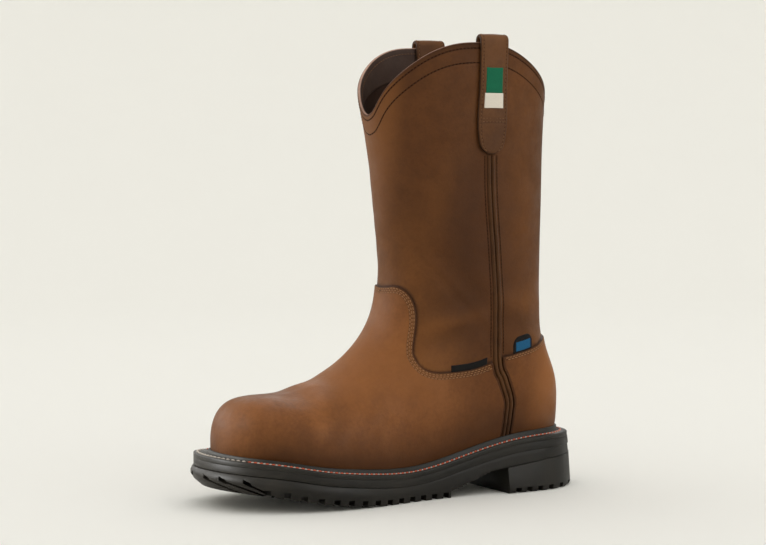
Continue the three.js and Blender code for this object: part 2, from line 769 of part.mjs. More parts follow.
// A rough layer of the sole: each level has a margin outside the last's edge and a height along it
function layer(levels) {
  const sheet = levels.map((level) => STATIONS.map((along) => {
    const turn = turnAt(along);
    return [turn, 360 - turn].map((t) => {
      const [x, y] = edgePoint(t, level.margin(t));
      return [x, y, level.height(shareOf(y))];
    });
  }));
  const last = levels.length - 1;
  const points = sheet.flat(2);
  const at = (level, station, side) => (level * STATIONS.length + station) * 2 + side;
  const triangles = [];
  const quad = (a, b, c, d) => triangles.push([a, b, c], [a, c, d]);
  for (let s = 0; s < STATIONS.length - 1; s++) {
    quad(at(0, s, 0), at(0, s, 1), at(0, s + 1, 1), at(0, s + 1, 0));
    quad(at(last, s, 0), at(last, s + 1, 0), at(last, s + 1, 1), at(last, s, 1));
    for (let k = 0; k < last; k++) {
      quad(at(k, s, 0), at(k, s + 1, 0), at(k + 1, s + 1, 0), at(k + 1, s, 0));
      quad(at(k, s, 1), at(k + 1, s, 1), at(k + 1, s + 1, 1), at(k, s + 1, 1));
    }
  }
  return toSolid(closedMesh(points, triangles));
}

// An upright column over the last's edge with one margin, much taller than the sole
function column(margin) {
  return layer([{ margin, height: () => -reach / 4 }, { margin, height: () => reach / 4 }]);
}

const weltTopLine = sideLine(weltTop);
const weltBottomLine = sideLine(weltBottom);
const midsoleTopLine = sideLine(midsoleTop);
const midsoleBottomLine = sideLine(midsoleBottom);
const outsoleTopLine = sideLine(outsoleTop);
const shelfLine = sideLine(feather);
const insoleTopLine = sideLine((along) => feather(along) + insoleThickness);
const treadLine = sideLine(tread);

function makeMidsole() {
  return toGeometry(column(marginAt).intersect(between(midsoleBottomLine, midsoleTopLine)));
}

function makeInsole() {
  const plug = column(() => -weltTuck - insoleClearance).intersect(between(weltBottomLine, insoleTopLine));
  const bed = column(() => -wall - insoleClearance).intersect(between(shelfLine, insoleTopLine));
  return toGeometry(plug.add(bed));
}

// A ring round the last's edge from a profile of margins and heights, given in order round its section
function ring(profile) {
  const loop = [...STATIONS.map(turnAt), ...STATIONS.slice(1, -1).reverse().map((s) => 360 - turnAt(s))];
  const points = loop.flatMap((turn) => profile.map(({ margin, height }) => {
    const [x, y] = edgePoint(turn, margin(turn));
    return [x, y, height(shareOf(y))];
  }));
  const count = profile.length;
  const triangles = [];
  for (let i = 0; i < loop.length; i++) {
    const next = (i + 1) % loop.length;
    for (let k = 0; k < count; k++) {
      const up = (k + 1) % count;
      const [a, b, c, d] = [i * count + k, next * count + k, next * count + up, i * count + up];
      triangles.push([a, b, c], [a, c, d]);
    }
  }
  return toSolid(closedMesh(points, triangles));
}

// The welt: a flat strip under the upper's edge, with a lip that stands against the overlays
function makeWelt() {
  const clear = 2 * gap + overlay;
  const lipTop = (along) => weltTop(along) + lipHeight;
  const rooted = (along) => weltTop(along) - weltThickness / 2;
  const strip = column(marginAt).subtract(column(() => -weltTuck));
  const lip = ring([
    { margin: () => clear, height: rooted },
    { margin: () => clear + lipThickness + lipSpread, height: rooted },
    { margin: () => clear + lipThickness + lipSpread, height: weltTop },
    { margin: () => clear + lipThickness, height: lipTop },
    { margin: () => clear - lipThickness, height: lipTop },
    { margin: () => clear, height: feather },
    { margin: () => clear, height: weltTop },
  ]);
  const raised = wallBetween(-wall / 2, 2 * gap + seamRaise, LOW_ROWS);
  const seamOutline = [...seamLine(-seamWidth / 2 - gap), ...seamLine(seamWidth / 2 + gap).reverse()];
  const seams = toSolid(raised.translate(0, 0, -gap)).intersect(prismAcross(seamOutline, -reach, reach));
  const upperForm = toSolid(wallBetween(-wall / 2, clear + lipEase, LOW_ROWS));
  return toGeometry(strip.intersect(between(weltBottomLine, weltTopLine)).add(lip)
    .subtract(upperForm).subtract(seams));
}

// The line under the arch and over the heel block
function archLine(lower) {
  return ARCH_LINE.map((row) => [placeAt(row.along), heelBlock * row.height - lower]);
}

// Notches along an edge of the tread, square to the last's outline
const cutPast = 1;
const notchPast = 2;
function edgeNotches(from, to, pitch, width, depth, inset, outwards) {
  const cuts = [];
  const size = [inset + 2 * notchPast, width, depth + 2 * cutPast];
  for (const side of [0, 1]) {
    const count = Math.round((to - from) * lastLength / pitch);
    for (let i = 0; i <= count; i++) {
      const along = from + (i * pitch) / lastLength;
      const turn = side === 0 ? turnAt(along) : 360 - turnAt(along);
      const [x, y] = edgePoint(turn, outwards - inset / 2 + notchPast);
      const [x1, y1] = edgePoint(turn, outwards);
      const angle = Math.atan2(y1 - y, x1 - x);
      cuts.push(block([x, y, tread(along) + depth / 2 - cutPast], size, angle));
    }
  }
  return cuts;
}

// Slanted grooves across the middle of the forepart's tread, in pairs like a herringbone
function middleGrooves() {
  const cuts = [];
  const size = [grooveLength, grooveWidth, lugDepth + 2 * cutPast];
  for (const along of GROOVES) {
    for (const side of [-1, 1]) {
      const z = tread(along) + lugDepth / 2 - cutPast;
      cuts.push(block([side * grooveLength * groovePlace, placeAt(along), z], size, -side * grooveTurn));
    }
  }
  return cuts;
}

function makeOutsole() {
  const side = (share) => (t) => marginAt(t) + bumper * share;
  const bulge = (along) => mix(tread(along), outsoleTop(along), bumperHeight);
  const rough = layer([
    { margin: side(bumperLow), height: (along) => tread(along) - cutPast },
    { margin: side(1), height: bulge },
    { margin: side(0), height: (along) => outsoleTop(along) + cutPast },
  ]);
  const under = archLine(0);
  const behind = [[reach, under[under.length - 1][1]], [reach, -reach]];
  const hollow = [[placeAt(treadEnd), -reach], ...under, ...behind];
  let solid = rough.intersect(between(treadLine, outsoleTopLine));
  solid = solid.subtract(prismAcross(hollow, -reach, reach));
  const notches = edgeNotches(lugFirst, lugLast, lugPitch, lugNotch, lugDepth, lugInset, weltMargin + bumper);
  for (const notch of [...notches, ...middleGrooves()]) solid = solid.subtract(notch);
  return toGeometry(solid);
}

const heelPast = 10;
function makeHeel() {
  const flared = (t) => marginAt(t) + heelFlare;
  const rough = layer([
    { margin: (t) => flared(t) - heelBevel - cutPast, height: () => -cutPast },
    { margin: flared, height: () => heelBevel },
    { margin: marginAt, height: () => heelBlock + heelPast },
  ]);
  const over = archLine(gap).filter(([y]) => y > placeAt(heelBreast) - cutPast);
  const keep = [[placeAt(heelBreast), 0], ...over, [reach, over[over.length - 1][1]], [reach, 0]];
  let solid = rough.intersect(prismAcross(keep, -reach, reach));
  const notches = edgeNotches(heelLugFirst, heelLugLast, heelLugPitch, heelNotch, heelNotchDepth, lugInset,
    weltMargin + heelFlare);
  for (const notch of notches) solid = solid.subtract(notch);
  return toGeometry(solid);
}

function addPiece(group, name, geometry, color, roughness) {
  const material = new THREE.MeshStandardMaterial({ color, roughness, metalness: 0 });
  const mesh = new THREE.Mesh(geometry, material);
  mesh.name = name;
  group.add(mesh);
}

const boot = new THREE.Group();
addPiece(boot, 'upper', makeUpper(), DARK_BROWN, 0.6);
addPiece(boot, 'vamp', makeVamp(), BROWN, 0.55);
addPiece(boot, 'counter', makeCounter(), BROWN, 0.55);
for (const [name, side] of [['lateral', 1], ['medial', -1]]) {
  addPiece(boot, `side_seam_${name}`, makeSideSeam(side), DARK_BROWN, 0.6);
  addPiece(boot, `pull_strap_${name}`, makeStrap(side), DARK_BROWN, 0.6);
}
addPiece(boot, 'welt', makeWelt(), BLACK_RUBBER, 0.7);
addPiece(boot, 'midsole', makeMidsole(), BLACK_RUBBER, 0.7);
addPiece(boot, 'outsole', makeOutsole(), BLACK_RUBBER, 0.75);
addPiece(boot, 'heel', makeHeel(), BLACK_RUBBER, 0.75);
addPiece(boot, 'insole', makeInsole(), TAN, 0.8);

export default boot;
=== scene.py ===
import json
import math

import bmesh
import bpy
import numpy as np
from mathutils import Matrix, Vector
from mathutils.bvhtree import BVHTree

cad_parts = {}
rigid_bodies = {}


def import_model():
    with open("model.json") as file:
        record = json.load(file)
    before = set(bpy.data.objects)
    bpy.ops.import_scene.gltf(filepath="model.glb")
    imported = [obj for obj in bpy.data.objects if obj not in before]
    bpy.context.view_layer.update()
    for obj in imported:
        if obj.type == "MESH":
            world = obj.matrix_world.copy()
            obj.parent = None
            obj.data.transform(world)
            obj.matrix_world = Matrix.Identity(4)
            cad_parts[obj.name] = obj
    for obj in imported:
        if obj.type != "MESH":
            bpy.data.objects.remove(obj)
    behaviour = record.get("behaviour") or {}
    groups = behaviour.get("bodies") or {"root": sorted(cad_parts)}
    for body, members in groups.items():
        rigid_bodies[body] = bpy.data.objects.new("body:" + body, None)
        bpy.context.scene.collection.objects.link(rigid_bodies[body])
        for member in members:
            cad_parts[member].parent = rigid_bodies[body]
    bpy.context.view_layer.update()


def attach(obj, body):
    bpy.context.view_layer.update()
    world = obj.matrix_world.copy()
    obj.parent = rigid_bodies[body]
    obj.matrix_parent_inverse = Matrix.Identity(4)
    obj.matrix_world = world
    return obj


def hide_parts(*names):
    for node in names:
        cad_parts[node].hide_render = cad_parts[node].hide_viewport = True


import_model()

MM = 0.001

# The boot's own sizes in millimetres, the same as those of the solids
LAST_LENGTH = 281
BALL_WIDTH = 94
INSTEP = 108
HEEL_TIP = 27.5
HEEL_RISE = 20.1
TOE_SPRING = 13.7
COLLAR_HEIGHT = 342
SHAFT_WIDTH = 103
COLLAR_DIP = 54
WALL = 2.4
OVERLAY = 1.4
SEAM_WIDTH = 7
GAP = 0.3
STRAP_WIDTH = 25
STRAP_THICKNESS = 3.2
STRAP_DROP = 85
STRAP_INNER_DROP = 62
STRAP_RISE = 7.3
STRAP_LINING_GAP = 1.0
STRAP_PLACE = 0.287
OUTSOLE_THICKNESS = 12.2
MIDSOLE_THICKNESS = 5.4
WELT_THICKNESS = 4.1
WELT_MARGIN = 10
WELT_TUCK = 7
LIP_HEIGHT = 2.8
LIP_THICKNESS = 1.6
BUMPER = 1.5
HEEL_BLOCK = 26
HEEL_FLARE = 5.5
HEEL_BEVEL = 2.0
HEEL_BREAST = 0.2224
TREAD_END = 0.398
LUG_PITCH = 11
LUG_NOTCH = 5
LUG_DEPTH = 4.2
LUG_INSET = 13
LUG_FIRST = 0.418
LUG_LAST = 0.85
HEEL_NOTCH = 4.9
HEEL_NOTCH_DEPTH = 3.9
HEEL_LUG_PITCH = 9.3
HEEL_LUG_FIRST = 0.029
HEEL_LUG_LAST = 0.1946
INSOLE_THICKNESS = 3.5

# turn, lateral, medial, margin
LAST_OUTLINE = np.array([
    [0, 0.0, 0.0, 1.0], [15, 0.149, 0.149, 1.0], [30, 0.273, 0.273, 1.0], [45, 0.33, 0.335, 1.0],
    [60, 0.34, 0.33, 0.97], [75, 0.345, 0.294, 0.95], [90, 0.392, 0.299, 0.95], [105, 0.479, 0.387, 1.0],
    [120, 0.521, 0.474, 1.05], [135, 0.479, 0.5, 1.12], [150, 0.366, 0.443, 1.25], [165, 0.196, 0.299, 1.45],
    [180, -0.052, 0.052, 1.62],
])
# along, heel, toe, tread
SOLE_LINE = np.array([
    [0.0, 1.0, 0.0, 0.0], [0.1, 0.99, 0.0, 0.0], [0.2, 0.87, 0.0, 0.0], [0.3, 0.58, 0.0, 0.0],
    [0.4, 0.235, 0.0, 0.0], [0.5, 0.01, 0.0, 0.0], [0.6, 0.0, 0.03, 0.0], [0.7, 0.0, 0.22, 0.13],
    [0.8, 0.0, 0.48, 0.38], [0.9, 0.0, 0.85, 0.75], [1.0, 0.0, 1.1, 1.0],
])
# along, height
ARCH_LINE = np.array([
    [TREAD_END, 0.2], [0.385, 0.235], [0.33, 0.45], [0.275, 0.68], [HEEL_BREAST, 0.76], [0.1, 0.92],
    [0.0, 0.99], [-0.08, 1.02],
])
# base, crown, rise, widest, swell, lower, upper, ridge
FOOT_SECTIONS = np.array([
    [1.0, 1.0, 0.024, 0.2, 0.0, 2.4, 2.4, -0.052],
    [0.9965, 0.997, 0.14, 0.2, 0.005, 2.4, 2.4, -0.053],
    [0.986, 0.988, 0.231, 0.2, 0.013, 2.4, 2.4, -0.053],
    [0.965, 0.969, 0.315, 0.22, 0.019, 2.4, 2.5, -0.053],
    [0.931, 0.937, 0.377, 0.25, 0.023, 2.4, 2.55, -0.053],
    [0.883, 0.888, 0.419, 0.27, 0.027, 2.4, 2.55, -0.055],
    [0.821, 0.83, 0.465, 0.28, 0.027, 2.4, 2.5, -0.064],
    [0.752, 0.762, 0.524, 0.28, 0.027, 2.4, 2.35, -0.074],
    [0.677, 0.69, 0.615, 0.28, 0.027, 2.3, 2.2, -0.074],
    [0.598, 0.63, 0.736, 0.3, 0.035, 2.3, 2.1, -0.064],
    [0.512, 0.578, 0.878, 0.32, 0.054, 2.2, 2.1, -0.053],
    [0.423, 0.544, 1.0, 0.36, 0.078, 2.2, 2.1, -0.032],
    [0.326, 0.527, 1.094, 0.39, 0.09, 2.2, 2.1, -0.021],
    [0.23, 0.523, 1.179, 0.41, 0.093, 2.2, 2.1, -0.011],
    [0.144, 0.525, 1.271, 0.42, 0.111, 2.15, 2.1, 0.0],
])
# back, stand, front, rise, widest, half, lower
SHAFT_SECTIONS = np.array([
    [0.081, 0.0, 0.53, 0.064, 0.42, 0.413, 2.1], [0.035, 0.0, 0.533, 0.111, 0.42, 0.418, 2.0],
    [0.009, 0.0, 0.536, 0.15, 0.42, 0.423, 1.95], [0.0, 0.0, 0.539, 0.187, 0.42, 0.427, 1.95],
    [-0.001, 0.058, 0.541, 0.228, 0.42, 0.427, 2.1], [0.008, 0.125, 0.544, 0.275, 0.43, 0.432, 2.2],
    [0.034, 0.191, 0.546, 0.324, 0.44, 0.432, 2.2], [0.05, 0.265, 0.549, 0.373, 0.45, 0.432, 2.2],
    [0.054, 0.342, 0.551, 0.422, 0.46, 0.437, 2.2], [0.053, 0.425, 0.555, 0.476, 0.47, 0.442, 2.2],
    [0.051, 0.512, 0.56, 0.531, 0.48, 0.447, 2.2], [0.048, 0.599, 0.566, 0.592, 0.49, 0.451, 2.2],
    [0.045, 0.693, 0.573, 0.658, 0.5, 0.461, 2.15], [0.04, 0.793, 0.583, 0.737, 0.5, 0.471, 2.1],
    [0.033, 0.9, 0.593, 0.85, 0.5, 0.485, 2.1], [0.026, 1.0, 0.602, 1.0, 0.5, 0.5, 2.1],
])
SHAFT_UPPER = 2.1
# round, drop
COLLAR = np.array([
    [0.0, 1.0], [0.04, 0.95], [0.1, 0.72], [0.2, 0.38], [0.3, 0.14], [0.4, 0.02], [0.47, 0.0],
    [0.55, 0.015], [0.65, 0.125], [0.75, 0.31], [0.85, 0.54], [0.95, 0.78], [1.0, 0.82],
])
# along, height
VAMP_EDGE = np.array([
    [0.6, 1.262], [0.527, 1.266], [0.513, 1.268], [0.497, 1.215], [0.4865, 1.13], [0.486, 1.03],
    [0.4985, 0.86], [0.4985, 0.783], [0.48, 0.695], [0.445, 0.654], [0.399, 0.651], [0.32, 0.672],
    [0.254, 0.73],
])
COUNTER_EDGE = np.array([[0.254, 0.732], [0.2, 0.762], [0.147, 0.793], [0.062, 0.864], [-0.05, 0.93]])
# along, stand
SIDE_SEAM = np.array([
    [0.287, 0.8], [0.285, 0.71], [0.281, 0.611], [0.268, 0.478], [0.259, 0.356], [0.254, 0.197],
    [0.234, 0.149], [0.2105, 0.094], [0.2095, 0.0575], [0.21, 0.013], [0.2135, -0.06],
])
# up, half
STRAP_TIP = np.array([[0.0, 0.22], [0.03, 0.58], [0.09, 0.86], [0.18, 0.98], [0.5, 1.0], [1.0, 1.0]])

HEEL_ROW = 18
LAST_ROW = 30
COLLAR_BLEND_ROW = 23
SECTION_STEPS = 120


def spline(xs, ys):
    """A natural cubic spline through the points, straight beyond its ends"""
    xs = np.asarray(xs, float)
    ys = np.asarray(ys, float)
    n = len(xs)
    width = np.diff(xs)
    system = np.eye(n)
    right = np.zeros(n)
    for i in range(1, n - 1):
        system[i, i - 1:i + 2] = [width[i - 1], 2 * (width[i - 1] + width[i]), width[i]]
        right[i] = 6 * ((ys[i + 1] - ys[i]) / width[i] - (ys[i] - ys[i - 1]) / width[i - 1])
    bend = np.linalg.solve(system, right)

    def value(x):
        x = np.asarray(x, float)
        i = np.clip(np.searchsorted(xs, x, side="left") - 1, 0, n - 2)
        w = width[i]
        inside = np.clip(x, xs[0], xs[-1])
        b = (inside - xs[i]) / w
        a = 1 - b
        curve = ((a ** 3 - a) * bend[i] + (b ** 3 - b) * bend[i + 1]) * w * w / 6
        slope = (ys[i + 1] - ys[i]) / w + ((3 * b * b - 1) * bend[i + 1] - (3 * a * a - 1) * bend[i]) * w / 6
        return a * ys[i] + b * ys[i + 1] + curve + slope * (x - inside)

    return value


def mix(a, b, share):
    return a + (b - a) * share


def smooth(low, high, x):
    """0 below low, 1 above high, with a soft change between"""
    t = np.clip((np.asarray(x, float) - low) / (high - low), 0, 1)
    return t * t * (3 - 2 * t)


def bump(x, middle, width):
    """A soft hill of height 1"""
    return np.exp(-((np.asarray(x, float) - middle) / width) ** 2)


def outline_splines():
    lateral = [[row[0], row[1], row[3]] for row in LAST_OUTLINE]
    medial = [[360 - row[0], -row[2], row[3]] for row in LAST_OUTLINE[1:-1][::-1]]
    once = lateral + medial
    wrap = 3
    rows = [[t - 360, x, m] for t, x, m in once[-wrap:]] + once + [[t + 360, x, m] for t, x, m in once[:wrap + 1]]
    rows = np.array(rows)
    return spline(rows[:, 0], rows[:, 1]), spline(rows[:, 0], rows[:, 2])


outline_share, margin_share = outline_splines()


def last_point(turn):
    turn = np.asarray(turn, float)
    return BALL_WIDTH * outline_share(turn), HEEL_TIP - LAST_LENGTH * (1 - np.cos(np.radians(turn))) / 2


def edge_point(turn, margin):
    """A point of the last's edge, moved outwards by a margin"""
    x0, y0 = last_point(np.asarray(turn) - 0.5)
    x1, y1 = last_point(np.asarray(turn) + 0.5)
    length = np.hypot(x1 - x0, y1 - y0)
    x, y = last_point(turn)
    return x - margin * (y1 - y0) / length, y + margin * (x1 - x0) / length


def turn_at(along):
    return np.degrees(np.arccos(1 - 2 * np.clip(along, 0, 1)))


def place_at(along):
    return HEEL_TIP - LAST_LENGTH * along


def share_of(y):
    return (HEEL_TIP - y) / LAST_LENGTH


WELT_TOP_AT_BALL = OUTSOLE_THICKNESS + MIDSOLE_THICKNESS + WELT_THICKNESS + 2 * GAP
heel_share = spline(SOLE_LINE[:, 0], SOLE_LINE[:, 1])
toe_share = spline(SOLE_LINE[:, 0], SOLE_LINE[:, 2])
tread_share = spline(SOLE_LINE[:, 0], SOLE_LINE[:, 3])


def welt_top(along):
    return WELT_TOP_AT_BALL + HEEL_RISE * heel_share(along) + TOE_SPRING * toe_share(along)


def welt_bottom(along):
    return welt_top(along) - WELT_THICKNESS


def midsole_bottom(along):
    return welt_bottom(along) - GAP - MIDSOLE_THICKNESS


def outsole_top(along):
    return midsole_bottom(along) - GAP


def tread(along):
    along = np.asarray(along, float)
    return np.where(along < 0.62, 0, np.maximum(0, TOE_SPRING * tread_share(along)))


def feather(along):
    return welt_top(along) + GAP


SEAT = float(feather(0))
BALL_FEATHER = WELT_TOP_AT_BALL + GAP


def standing(share):
    return SEAT + (COLLAR_HEIGHT - SEAT) * share


def section_rows():
    rows = []
    for base, crown, rise, widest, swell, lower, upper, ridge in FOOT_SECTIONS:
        turn = turn_at(base)
        half = float(last_point(turn)[0] - last_point(360 - turn)[0]) / 2
        foot = float(feather(base))
        rows.append([base, foot, place_at(crown), foot + INSTEP * rise, widest, half + BALL_WIDTH * swell,
                     lower, upper, BALL_WIDTH * ridge])
    throat = rows[-1][3]
    for i, (back, stand, front, rise, widest, half, lower) in enumerate(SHAFT_SECTIONS):
        base = float(feather(back)) if i < 4 else standing(stand)
        rows.append([back, base, place_at(front), mix(throat, COLLAR_HEIGHT, rise), widest, SHAFT_WIDTH * half,
                     lower, SHAFT_UPPER, 0])
    return np.array(rows)


def surface_grid(vs, us):
    """Points of the upper's outside: v counts the sections, u goes from the crown, 0, to the base, 1 on the
    lateral and -1 on the medial side"""
    table = section_rows()
    curves = [spline(np.arange(len(table)), table[:, k]) for k in range(table.shape[1])]
    along, base_z, crown_y, crown_z, widest, half, lower, upper, ridge = [curve(vs) for curve in curves]
    on_last = vs <= HEEL_ROW + 1e-9
    turn = turn_at(along)
    lateral = last_point(turn)[0]
    medial = last_point(360 - turn)[0]
    base_half = np.where(on_last, np.maximum(0, (lateral - medial) / 2), 0)
    base_centre = np.where(on_last, (lateral + medial) / 2, 0)
    base_z = np.where(on_last, feather(np.clip(along, 0, 1)), base_z)
    base_y = place_at(along)
    grid = np.zeros((len(vs), len(us), 3))
    quarter = np.linspace(0, math.pi / 2, SECTION_STEPS + 1)
    for i in range(len(vs)):
        ratio = min(base_half[i] / half[i], 0.999) if half[i] > 0.05 else 0.95
        cut = (1 - ratio ** lower[i]) ** (1 / lower[i])
        down = np.linspace(0, math.asin(cut ** (lower[i] / 2)), SECTION_STEPS + 1)[1:]
        share = np.concatenate([
            widest[i] + (1 - widest[i]) * np.clip(np.cos(quarter), 0, 1) ** (2 / upper[i]),
            widest[i] * (1 - np.sin(down) ** (2 / lower[i]) / cut),
        ])
        reach = half[i] * np.concatenate([np.sin(quarter) ** (2 / upper[i]), np.cos(down) ** (2 / lower[i])])
        centre = mix(base_centre[i], ridge[i], share * share)
        y = mix(base_y[i], crown_y[i], share)
        z = mix(base_z[i], crown_z[i], share)
        for side in (-1, 1):
            x = centre + side * reach
            run = np.concatenate([[0], np.cumsum(np.sqrt(np.diff(x) ** 2 + np.diff(y) ** 2 + np.diff(z) ** 2))])
            chosen = us <= 0 if side < 0 else us >= 0
            target = np.abs(us[chosen]) * run[-1]
            grid[i, chosen, 0] = np.interp(target, run, x)
            grid[i, chosen, 1] = np.interp(target, run, y)
            grid[i, chosen, 2] = np.interp(target, run, z)
    return grid


def grid_normals(grid, us):
    along = np.gradient(grid, axis=0)
    across = np.gradient(grid, axis=1)
    normals = np.cross(across, along)
    normals /= np.maximum(np.linalg.norm(normals, axis=2, keepdims=True), 1e-9)
    low = round(0.15 / V_STEP)
    normals[:low] = normals[low]
    for side, column in ((-1, 0), (1, len(us) - 1)):
        foot = VS <= HEEL_ROW
        curve = spline(np.arange(31), section_rows()[:, 0])
        turn = turn_at(curve(VS[foot]))
        turn = turn if side > 0 else 360 - turn
        x0, y0 = edge_point(turn, 0.0)
        x1, y1 = edge_point(turn, 1.0)
        normals[foot, column] = np.stack([x1 - x0, y1 - y0, np.zeros_like(x0)], axis=1)
        normals[~foot, column, 0] = 0
    normals /= np.maximum(np.linalg.norm(normals, axis=2, keepdims=True), 1e-9)
    return normals


V_STEP = 0.025
U_STEP = 0.005
VS = np.linspace(0, LAST_ROW, round(LAST_ROW / V_STEP) + 1)
US = np.linspace(-1, 1, round(2 / U_STEP) + 1)


def soften(table, low, high):
    """Replaces the rows between two sections by smooth curves, so that no line shows where they meet"""
    first, last = round(low / V_STEP), round(high / V_STEP)
    part = table[first:last + 1]
    run = np.concatenate([np.zeros((1, len(US))), np.cumsum(np.linalg.norm(np.diff(part, axis=0), axis=2), axis=0)])
    length = run[-1][:, None]
    t = (run / run[-1])[..., None]
    start = table[first] - table[first - 2]
    end = table[last + 2] - table[last]
    start *= length / np.maximum(np.linalg.norm(start, axis=1, keepdims=True), 1e-9)
    end *= length / np.maximum(np.linalg.norm(end, axis=1, keepdims=True), 1e-9)
    curve = ((2 * t ** 3 - 3 * t ** 2 + 1) * part[0] + (t ** 3 - 2 * t ** 2 + t) * start
             + (-2 * t ** 3 + 3 * t ** 2) * part[-1] + (t ** 3 - t ** 2) * end)
    kept = smooth(0.93, 0.99, np.abs(US))[None, :, None]
    table[first:last + 1] = mix(curve, part, kept)
    return table


BASE = soften(surface_grid(VS, US), 17.2, 18.8)
BASE_NORMALS = grid_normals(BASE, US)

# Soft creases and swells, listed: place on the side view in y and z, its direction in degrees, its length
# and width, its height in millimetres, and how much of it each side has (lateral, medial)
CREASES = [
    (-170, 66, 40, 30, 5.0, -0.3, 1.0, 0.8),
    (-160, 72, 44, 32, 6.0, 0.3, 1.0, 0.8),
    (-149, 72, 48, 28, 5.0, -0.25, 0.9, 0.9),
    (-92, 118, 20, 26, 7.0, -0.9, 1.0, 0.8),
    (-84, 132, 12, 30, 8.0, 0.7, 1.0, 0.8),
    (-78, 146, 14, 26, 7.0, -0.6, 0.9, 1.0),
    (-20, 130, -12, 22, 7.0, -0.8, 1.0, 1.0),
    (-16, 146, -8, 24, 9.0, 0.6, 1.0, 1.0),
    (-95, 205, 75, 55, 16.0, 0.5, 1.0, 0.6),
    (-72, 215, 84, 70, 16.0, -0.45, 1.0, 0.8),
    (-20, 220, 88, 60, 14.0, 0.4, 1.0, 1.0),
    (-100, 270, 70, 40, 12.0, -0.3, 1.0, 0.7),
    (-12, 84, 70, 26, 8.0, -0.5, 1.0, 1.0),
]


def crease_height(points):
    """How far the leather stands out or in at each point"""
    x, y, z = points[..., 0], points[..., 1], points[..., 2]
    lateral = smooth(-25, 25, x)
    height = np.zeros(x.shape)
    for cy, cz, degrees, length, width, high, on_lateral, on_medial in CREASES:
        c, s = math.cos(math.radians(degrees)), math.sin(math.radians(degrees))
        run = (y - cy) * c + (z - cz) * s
        off = -(y - cy) * s + (z - cz) * c
        side = mix(on_medial, on_lateral, lateral)
        height += high * side * bump(run, 0, length) * bump(off, 0, width)
    cap_end = -186 - 9 * (np.abs(x + 4) / 45) ** 2
    height += (0.6 * bump(y, cap_end + 2, 7) - 0.8 * bump(y, cap_end + 16, 8)) * smooth(45, 62, z)
    return height


def cap_dip(points):
    """The toe's flat top, which lies lower than the solid's"""
    return 2.0 * bump(points[..., 1], -200, 20) * smooth(48, 76, points[..., 2])


FORM = BASE + BASE_NORMALS * (crease_height(BASE) - cap_dip(BASE))[..., None]
FORM_NORMALS = grid_normals(FORM, US)


def sample(table, v, u):
    """Reads a table over v and u between its points"""
    i = np.clip(np.asarray(v, float) / V_STEP, 0, len(VS) - 1.000001)
    j = np.clip((np.asarray(u, float) + 1) / U_STEP, 0, len(US) - 1.000001)
    i0 = i.astype(int)
    j0 = j.astype(int)
    a = (i - i0)[..., None]
    b = (j - j0)[..., None]
    low = table[i0, j0] * (1 - b) + table[i0, j0 + 1] * b
    high = table[i0 + 1, j0] * (1 - b) + table[i0 + 1, j0 + 1] * b
    return low * (1 - a) + high * a


def normal_at(v, u):
    n = sample(FORM_NORMALS, v, u)
    return n / np.maximum(np.linalg.norm(n, axis=-1, keepdims=True), 1e-9)


def on_form(v, u, offset):
    """Points at a distance from the upper's outside"""
    offset = np.broadcast_to(np.asarray(offset, float), np.shape(v))
    return sample(FORM, v, u) + normal_at(v, u) * offset[..., None]


def locate(side, y, z):
    """The v and u of points of one side that are given by y and z"""
    y = np.asarray(y, float)
    z = np.asarray(z, float)
    columns = np.where((US * side > 0.015) & (US * side < 0.985))[0][::6]
    rows = np.arange(4, len(VS) - 2, 12)
    coarse = FORM[np.ix_(rows, columns)][..., 1:]
    flat = coarse.reshape(-1, 2)
    best = np.array([np.argmin((flat[:, 0] - a) ** 2 + (flat[:, 1] - b) ** 2) for a, b in zip(y.ravel(), z.ravel())])
    v = VS[rows[best // len(columns)]].reshape(y.shape)
    u = US[columns[best % len(columns)]].reshape(y.shape)
    step = 0.01
    for _ in range(14):
        p = sample(FORM, v, u)
        pv = (sample(FORM, v + step, u) - p) / step
        pu = (sample(FORM, v, u + step) - p) / step
        det = pv[..., 1] * pu[..., 2] - pu[..., 1] * pv[..., 2]
        det = np.where(np.abs(det) < 1e-6, 1e-6, det)
        ry = y - p[..., 1]
        rz = z - p[..., 2]
        v = v + np.clip((ry * pu[..., 2] - rz * pu[..., 1]) / det, -0.5, 0.5)
        u = u + np.clip((rz * pv[..., 1] - ry * pv[..., 2]) / det, -0.05, 0.05)
        v = np.clip(v, 0, LAST_ROW - 0.02)
        u = np.clip(u * side, 0.004, 0.996) * side
    return v, u


collar_drop = spline(COLLAR[:, 0], COLLAR[:, 1])


def collar_rows(us):
    """The section number at which each column reaches the collar"""
    target = COLLAR_HEIGHT - COLLAR_DIP * collar_drop(np.abs(us))
    low = np.full(len(us), float(COLLAR_BLEND_ROW))
    high = np.full(len(us), float(LAST_ROW))
    for _ in range(24):
        middle = (low + high) / 2
        under = sample(BASE, middle, us)[..., 2] < target
        low = np.where(under, middle, low)
        high = np.where(under, high, middle)
    return (low + high) / 2


def column_rows(v, us):
    """Rows that end at the collar, for every column"""
    v = np.asarray(v, float)[:, None]
    top = collar_rows(us)[None, :]
    blended = mix(COLLAR_BLEND_ROW, top, (v - COLLAR_BLEND_ROW) / (LAST_ROW - COLLAR_BLEND_ROW))
    return np.where(v <= COLLAR_BLEND_ROW, v, blended)


